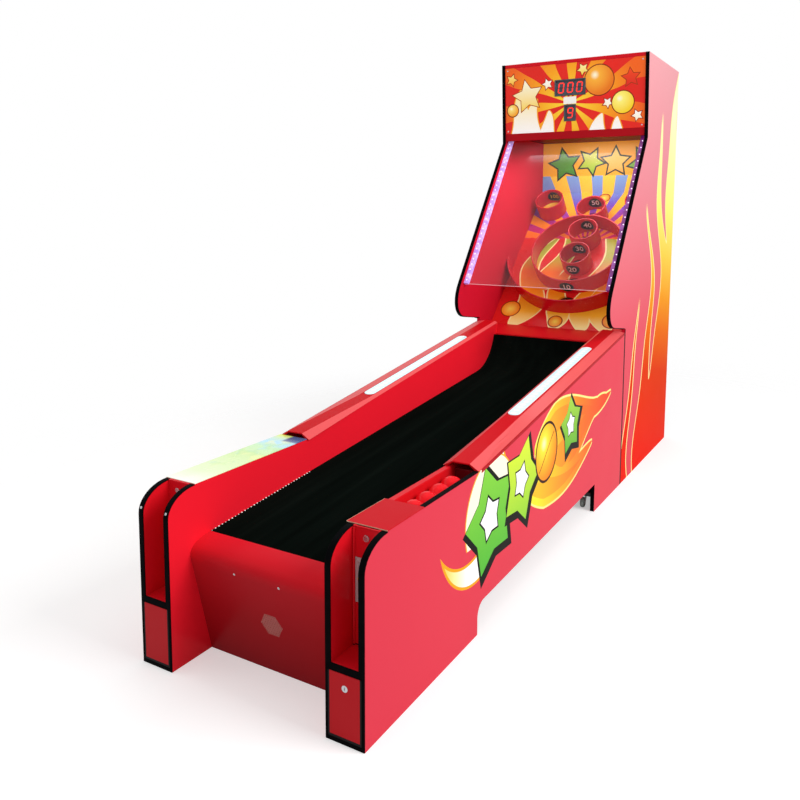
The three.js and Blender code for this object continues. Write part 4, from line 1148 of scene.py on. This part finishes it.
def makeBalls():
    for name, (roll, pitch, yaw) in ballTurns.items():
        low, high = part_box(name)
        ball = started(name + "_turned", bpy.ops.mesh.primitive_uv_sphere_add, segments=56,
                       ring_count=36, radius=(high[2] - low[2]) / 2 - ballSeam["clearance"])
        edit(ball)
        pick(ball, "EDGE", lambda edge: all(abs(vertex.co.z) < ballSeam["onPlane"] for vertex in edge.verts))
        bpy.ops.mesh.bevel(offset=ballSeam["width"], segments=2, affect="EDGES")
        pick(ball, "VERT", lambda vertex: abs(vertex.co.z) < ballSeam["onPlane"])
        resize(ballSeam["sunk"], ballSeam["sunk"], 1)
        leave()
        spun = Matrix.Rotation(roll, 4, "X") @ Matrix.Rotation(pitch, 4, "Y") @ Matrix.Rotation(yaw, 4, "Z")
        put(ball, Matrix.Translation(middleOf(name)) @ spun)
        smooth(ball, 50)
        finish(ball, "ball_red", "ball_red", name, name)


# Scores: oval labels with their numbers, bent round the walls

labels = [
    # words, cup or ring, inside its far wall or outside its near wall, colour of the digits
    ("10", "big_ring", "outside", "label_white"),
    ("20", "cup_30", "outside", "label_white"),
    ("30", "cup_30", "inside", "label_white"),
    ("40", "cup_40", "inside", "label_white"),
    ("50", "cup_50", "inside", "label_white"),
    ("100", "left_corner_cup", "inside", "label_yellow"),
    ("100", "right_corner_cup", "inside", "label_yellow"),
]
label = {"halfWidth": 0.039, "halfHeight": 0.034, "thick": 0.0005, "digit": 0.046, "step": 0.004,
         "longWord": 0.8, "swell": 0.018, "proud": 1.4, "clearance": 0.0001}


def sliced(piece):
    # extra edges across a flat piece, so that it can be bent
    edit(piece)
    count = int(label["halfWidth"] / label["step"])
    for k in range(-count, count + 1):
        selectAll()
        bpy.ops.mesh.bisect(plane_co=(k * label["step"], 0, 0), plane_no=(1, 0, 0))
    leave()


def bent(piece, centre, radius, way):
    # x runs round the wall, y up it, z away from it
    side = 1 if way == "inside" else -1
    for vertex in piece.data.vertices:
        across, height, off = vertex.co
        turn, reach = across / radius, radius - side * off
        vertex.co = (centre.x + sin(turn) * reach, centre.y + side * cos(turn) * reach,
                     wall["height"] * 0.5 + height)
    edit(piece)
    faceOut()
    leave()


def wordsMesh(words, size, depth):
    clearSelection()
    bpy.ops.object.text_add()
    text = bpy.context.active_object.data
    text.body = words
    text.size = size
    text.extrude = depth / 2
    text.offset = size * label["swell"]
    text.align_x = text.align_y = "CENTER"
    text.resolution_u = 5
    bpy.ops.object.convert(target="MESH")
    return take("words_" + words)


def makeLabels():
    for words, holder, way, colour in labels:
        if holder == "big_ring":
            centre, outer, thickness = Vector((0, ring["middle"], 0)), ring["radius"], wall["ring"]
        else:
            centre, outer, thickness = cupPlace(holder), cupRadius(holder), wall["cup"]
        inside = way == "inside"
        radius = outer - thickness if inside else outer
        oval = started(f"label_{words}_{holder}", bpy.ops.mesh.primitive_circle_add, vertices=64,
                       radius=1, fill_type="NGON")
        oval.scale = (label["halfWidth"], label["halfHeight"], 1)
        settle(oval)
        modify(oval, "SOLIDIFY", thickness=label["thick"], offset=1)
        sliced(oval)
        bent(oval, centre, radius + (-label["clearance"] if inside else label["clearance"]), way)
        size = label["digit"] * (label["longWord"] if len(words) > 2 else 1)
        digits = wordsMesh(words, size, label["thick"])
        settle(digits)
        sliced(digits)
        for vertex in digits.data.vertices:
            vertex.co.z += label["thick"] * label["proud"]
        bent(digits, centre, radius, way)
        for piece, material in [(oval, "label_black"), (digits, colour)]:
            put(piece, boardPlace)
            finish(piece, material, "ring_plastic")


# Display: seven bars for each digit, the lit ones red

digitBars = [
    # half widths across, half heights up, key
    (0, 1, "a"), (1, 0.5, "b"), (1, -0.5, "c"), (0, -1, "d"), (-1, -0.5, "e"), (-1, 0.5, "f"), (0, 0, "g")]
digitPlaces = [
    # across, height, bars that are lit
    (-0.049, 1.960, "abcdef"), (0.0, 1.960, "abcdef"), (0.049, 1.960, "abcdef"), (0.0, 1.832, "abcdfg")]
digit = {"half": 0.013, "rise": 0.024, "bar": 0.0062, "gap": 0.0015, "thick": 0.0012, "lift": 0.0002,
         "slant": 0.12, "middle": -0.013, "sink": 0.010, "point": 1.55}


def digitBar(length):
    # a long hexagon with pointed ends
    piece = started("bar", bpy.ops.mesh.primitive_circle_add, vertices=6, radius=1, fill_type="NGON")
    edit(piece)
    selectAll()
    bpy.ops.transform.rotate(value=radians(30), orient_axis="Z", center_override=origin)
    pick(piece, "VERT", lambda vertex: abs(vertex.co.x) < 0.8)
    resize(digit["point"], 1, 1)
    selectAll()
    resize((length - digit["gap"]) / 2, digit["bar"] / 2 / sin(pi / 3), 1)
    leave()
    modify(piece, "SOLIDIFY", thickness=digit["thick"], offset=1)
    return piece


def makeDigits():
    lean = atan2(machine["top"][1] - machine["bend"][1], machine["top"][0] - machine["bend"][0])
    upright, level = digitBar(digit["rise"]), digitBar(digit["half"] * 2)
    made = {True: [], False: []}
    for across, z, shown in digitPlaces:
        floor = Vector((digit["middle"] + across, marqueeY(z) + digit["sink"], z))
        place = Matrix.Translation(floor) @ Matrix.Rotation(lean, 4, "X")
        for u, v, key in digitBars:
            stands = abs(v) == 0.5
            high = v * digit["rise"]
            spot = Matrix.Translation((u * digit["half"] + high * digit["slant"], high, digit["lift"]))
            turn = Matrix.Rotation(radians(90) - digit["slant"] if stands else 0, 4, "Z")
            made[key in shown].append(copied(upright if stands else level, place @ spot @ turn))
    for pattern in (upright, level):
        bpy.data.objects.remove(pattern)
    finish(joined("digits_lit", made[True]), "digit_red", "display_case")
    finish(joined("digits_dark", made[False]), "digit_dark", "display_case")


# Rows of lamps in the channels beside the shield

channel = {"length": 0.936, "face": 0.0081, "fromWall": 0.012, "lampRadius": 0.0031, "flat": 0.5,
           "first": 0.6}


def makeChannelLamps():
    across = machine["halfWidth"] - machine["sheet"] - channel["fromWall"]
    for hand, side, count in (("left", -1, 30), ("right", 1, 22)):
        pitch = channel["length"] / count
        spots = [(side * across, pitch * (k + channel["first"]), channel["face"]) for k in range(count)]
        places = [shieldPlace @ Matrix.Translation(spot) for spot in spots]
        piece = spread(hand + "_channel_lamps", dome(channel["lampRadius"], channel["flat"]), places)
        smooth(piece, 60)
        finish(piece, "lamp_white", "light_channel")


# Screws

screw = {"thick": 0.0018, "bevel": 0.0007, "drive": 0.42, "deep": 0.0009, "proud": 0.0004, "top": 0.0008}
screws = {
    # radius, the node they sit in, places across and up
    "front_panel_screws": (0.0038, "front_panel", [(x, 0.302) for x in (-0.106, 0.0545)]),
    "post_trim_screws": (0.0038, "left_post_trim", [
        (x, 0.470) for x in (-sheetMiddle, -machine["laneFace"] - machine["sheet"] / 2)]),
    "left_niche_bolt": (0.0075, "left_niche_liner", [(-0.337, 0.499)]),
    "rear_panel_screws": (0.0050, "rear_panel", [
        (x, z) for x in (-0.355, 0, 0.355) for z in (0.06, 1.10, 2.06)] + [
        (x, z) for x in (-0.355, 0.355) for z in (0.58, 1.58)]),
    "marquee_screws": (0.0038, "marquee_panel", [(x, z) for x in (-0.358, 0.358) for z in (1.752, 2.068)]),
}


def screwHead(radius):
    head = started("screw", bpy.ops.mesh.primitive_cylinder_add, vertices=20, radius=radius,
                   depth=screw["thick"])
    edit(head)
    pick(head, "EDGE", lambda edge: all(vertex.co.z > screw["top"] for vertex in edge.verts))
    bpy.ops.mesh.bevel(offset=screw["bevel"], segments=2, affect="EDGES")
    pick(head, "FACE", lambda face: face.normal.z > 0.9 and face.calc_center_median().z > screw["top"])
    bpy.ops.mesh.inset(thickness=radius * screw["drive"])
    bpy.ops.mesh.extrude_region_move(TRANSFORM_OT_translate={"value": (0, 0, -screw["deep"])})
    leave()
    return head


def screwRow(name, body, slot, spots, radius):
    places = [facing(place + normal * screw["proud"], normal) for place, normal in spots]
    piece = spread(name, screwHead(radius), places)
    smooth(piece, 40)
    return finish(piece, "screw_zinc", slot, body)


def makeScrews():
    for name, (radius, node, places) in screws.items():
        meet = fromRear if node == "rear_panel" else fromFront
        screwRow(name, "machine", "lock_steel", [meet(node, x, z) for x, z in places], radius)


# Locks: a keyway and a raised rim on each

locks = {
    "lower_door_lock": ("lower_lock", fromFront, machine["postX"], 0.1525),
    "coin_door_lock": ("coin_lock", fromFront, machine["postX"], 0.5025),
    "rear_door_lock": ("rear_lock", fromRear, 0.1972, 0.6235),
}
lock = {"keyway": (0.0014, 0.0076, 0.0004), "bevel": 0.0001, "rim": 0.0058, "rimThick": 0.0005}


def makeKeyways():
    for name, (body, meet, x, z) in locks.items():
        place = facing(*meet(name, x, z))
        bar(name + "_keyway", lock["keyway"], lock["bevel"], place, "label_black", "lock_steel", body)
        rim = started(name + "_rim", bpy.ops.mesh.primitive_torus_add, major_radius=lock["rim"],
                      minor_radius=lock["rimThick"], major_segments=32, minor_segments=8)
        edit(rim)
        cutOff(origin, (0, 0, -1))
        leave()
        put(rim, place)
        smooth(rim, 60)
        finish(rim, "screw_zinc", "lock_steel", body)


# Edging and other thin strips

strips = {
    "tray": {"inset": 0.0006, "length": 0.340, "thick": 0.0014, "place": (-1.1325, 0.5279), "bevel": 0.0004},
    "plate": {"inset": 0.001, "thick": 0.0008, "off": 0.0005, "bevel": 0.0002},
    "head": {"size": (0.0800, 0.0050, 0.0032), "place": (machine["postX"], -1.4985, 0.5254), "bevel": 0.0004},
    "foot": {"start": (-0.4, 0.05), "back": 0.02, "up": 0.02, "inset": 0.0006, "thick": 0.0024, "off": 0.0013,
             "short": 0.001, "bevel": 0.0006},
    "end": {"radius": 0.0075, "inset": 0.0008, "place": (0.631, 0.7725), "bevel": 0.001},
    "shield": {"inset": 0.002, "size": (0.0012, 0.0036), "below": 0.0008, "bevel": 0.0003},
}


def makeStrips():
    # black edging along the tray's opening, painted highlights along the edges of the right plate, the strip
    # over the coin door
    tray, plateEdge, head = strips["tray"], strips["plate"], strips["head"]
    bar("tray_edging", (machine["sheet"] - tray["inset"], tray["length"], tray["thick"]), tray["bevel"],
        (sheetMiddle, *tray["place"]), "black_edging", "black_edging")
    low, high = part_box("right_top_plate")
    width, length, height = [high[axis] - low[axis] for axis in range(3)]
    middle = middleOf("right_top_plate")
    # tan strips on the plate's front and inner edges: a painted highlight
    bar("right_plate_edge", (width - plateEdge["inset"], plateEdge["thick"], height), plateEdge["bevel"],
        (middle.x, low[1] - plateEdge["off"], middle.z), "pale_edge", "red_metal")
    bar("right_plate_inner_edge", (plateEdge["thick"], length - plateEdge["inset"], height),
        plateEdge["bevel"], (low[0] - plateEdge["off"], middle.y, middle.z), "pale_edge", "red_metal")
    bar("coin_door_head_strip", head["size"], head["bevel"], head["place"], "red_board", "red_board")


def makeBlackEnds():
    # edging on the rear feet of the lane's sides, and the round ends of the mouldings
    foot, end = strips["foot"], strips["end"]
    for hand, side in (("left", -1), ("right", 1)):
        across = side * sheetMiddle
        place, normal = surface(hand + "_outer_side", (across, *foot["start"]), (0, 1, 0))
        inside = (across, place.y - foot["back"], foot["up"])
        above, under = surface(hand + "_outer_side", inside, (0, 0, 1))
        size = (machine["sheet"] - foot["inset"], foot["thick"], above.z - foot["short"])
        bar(hand + "_foot_edging", size, foot["bevel"], (across, place.y - foot["off"], above.z / 2),
            "black_edging", "black_edging")
        piece = started(hand + "_moulding_end", bpy.ops.mesh.primitive_cylinder_add, vertices=32,
                        radius=end["radius"], depth=machine["sheet"] - end["inset"])
        put(piece, Matrix.Translation((across, *end["place"])) @ Matrix.Rotation(radians(90), 4, "Y"))
        bevelled(piece, end["bevel"], 2)
        smooth(piece, 40)
        finish(piece, "black_edging", "black_edging")


def makeShieldEdge():
    # a glowing strip along the shield's lower edge: a painted highlight
    edge = strips["shield"]
    low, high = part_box("clear_shield")
    bar("shield_lower_edge", (high[0] - low[0] - edge["inset"], *edge["size"]), edge["bevel"],
        shieldPlace @ Matrix.Translation((0, -edge["below"], 0)), "edge_glow", "clear_sheet")


bead = {"count": 34, "start": -1.430, "pitch": 0.0145, "fromWall": 0.0028, "above": 0.8, "least": 0.0012,
        "spread": 0.0014, "beat": 2.3}


def makeBeads():
    # pale dots in the corner between the mat and the left wall
    across = -machine["laneFace"] + bead["fromWall"]
    places = []
    for k in range(bead["count"]):
        start = (across, bead["start"] + bead["pitch"] * k, bead["above"])
        size = bead["least"] + bead["spread"] * abs(sin(bead["beat"] * k))
        place = facing(*surface("lane_mat", start, (0, 0, -1)))
        places.append(place @ Matrix.Diagonal((size, size, size, 1)))
    piece = spread("lane_edge_beads", dome(1.0, 1.0, 10, 6), places)
    smooth(piece, 60)
    finish(piece, "bead_pale", "light_lens")


grille = {"height": 0.165, "pitch": 0.0086, "rows": 9, "hole": 0.0026, "rim": 0.0038, "inset": 0.2,
          "cone": 0.0002, "proud": 0.0004, "thick": 0.0005, "deep": 0.0012, "clearance": 0.0001,
          "cloth": 0.001, "bevel": 0.0003}


def makeGrille():
    # pale rims where the holes were drilled through the red skin, and the speaker's cloth behind them
    ground, normal = fromFront("front_panel", 0.1, grille["height"])
    middle = facing(Vector((0, ground.y, grille["height"])), normal)
    flat = middle.inverted().to_3x3()
    upward, across = flat @ Vector((0, 0, 1)), flat @ Vector((1, 0, 0))
    upward.z = 0
    upward.normalize()
    places = []
    for row in range(grille["rows"]):
        fromMiddle = row - (grille["rows"] - 1) / 2
        columns = int(grille["rows"] - abs(fromMiddle))
        rise = upward * fromMiddle * sin(pi / 3)
        for column in range(columns):
            spot = (across * (column - (columns - 1) / 2) + rise) * grille["pitch"]
            places.append(middle @ Matrix.Translation(spot))
    rim = started("rim", bpy.ops.mesh.primitive_circle_add, vertices=12, radius=grille["rim"],
                  fill_type="NGON")
    edit(rim)
    selectAll()
    bpy.ops.mesh.inset(thickness=grille["rim"] * grille["inset"])
    slide(0, 0, -grille["cone"])
    bpy.ops.mesh.delete(type="ONLY_FACE")
    selectAll()
    slide(0, 0, grille["proud"])
    leave()
    modify(rim, "SOLIDIFY", thickness=grille["thick"], offset=-1)
    finish(spread("speaker_hole_rims", rim, places), "drilled_rim", "red_board")
    cloth = started("cloth", bpy.ops.mesh.primitive_cylinder_add, vertices=12,
                    radius=grille["hole"] - grille["clearance"], depth=grille["cloth"])
    bevelled(cloth, grille["bevel"], 2)
    sunk = [place @ Matrix.Translation((0, 0, -grille["deep"])) for place in places]
    finish(spread("speaker_cloth", cloth, sunk), "speaker_cloth", "red_board")


coin = {"inset": 0.006, "screw": 0.0026, "flap": (0.031, 0.0012, 0.028), "flapPlace": (0.016, 0.030),
        "lean": 14, "flapBevel": 0.0004, "rib": (0.0018, 0.0010, 0.022), "ribBevel": 0.0003, "ribs": 4,
        "pitch": 0.0035, "ribPlace": (-0.016, -0.0002, -0.022)}


def makeCoinDetails():
    # four screws, the flap in the return cup, ribs beside the coin slot
    low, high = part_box("coin_mechanism")
    front, middle = low[1], (low[0] + high[0]) / 2
    spots = [fromFront("coin_mechanism", x, z) for x in (low[0] + coin["inset"], high[0] - coin["inset"])
             for z in (low[2] + coin["inset"], high[2] - coin["inset"])]
    screwRow("coin_mechanism_screws", "coin_door", "mechanism_steel", spots, coin["screw"])
    back, up = coin["flapPlace"]
    leaning = Matrix.Rotation(radians(coin["lean"]), 4, "X")
    bar("return_flap", coin["flap"], coin["flapBevel"],
        Matrix.Translation((middle, front + back, low[2] + up)) @ leaning,
        "mechanism_steel", "mechanism_steel", "coin_door")
    across, off, down = coin["ribPlace"]
    places = [Matrix.Translation((middle + across + coin["pitch"] * k, front + off, high[2] + down))
              for k in range(coin["ribs"])]
    piece = spread("coin_slot_ribs", block(coin["rib"], coin["ribBevel"]), places)
    finish(piece, "lock_steel", "mechanism_steel", "coin_door")


dressFrame()
makeCups()
makeRings()
makeBalls()
print("target and balls ready")
makeLabels()
makeDigits()
makeChannelLamps()
print("labels and lamps ready")
makeScrews()
makeKeyways()
makeStrips()
makeBlackEnds()
makeBeads()
makeGrille()
makeShieldEdge()
makeCoinDetails()
print("fittings ready")
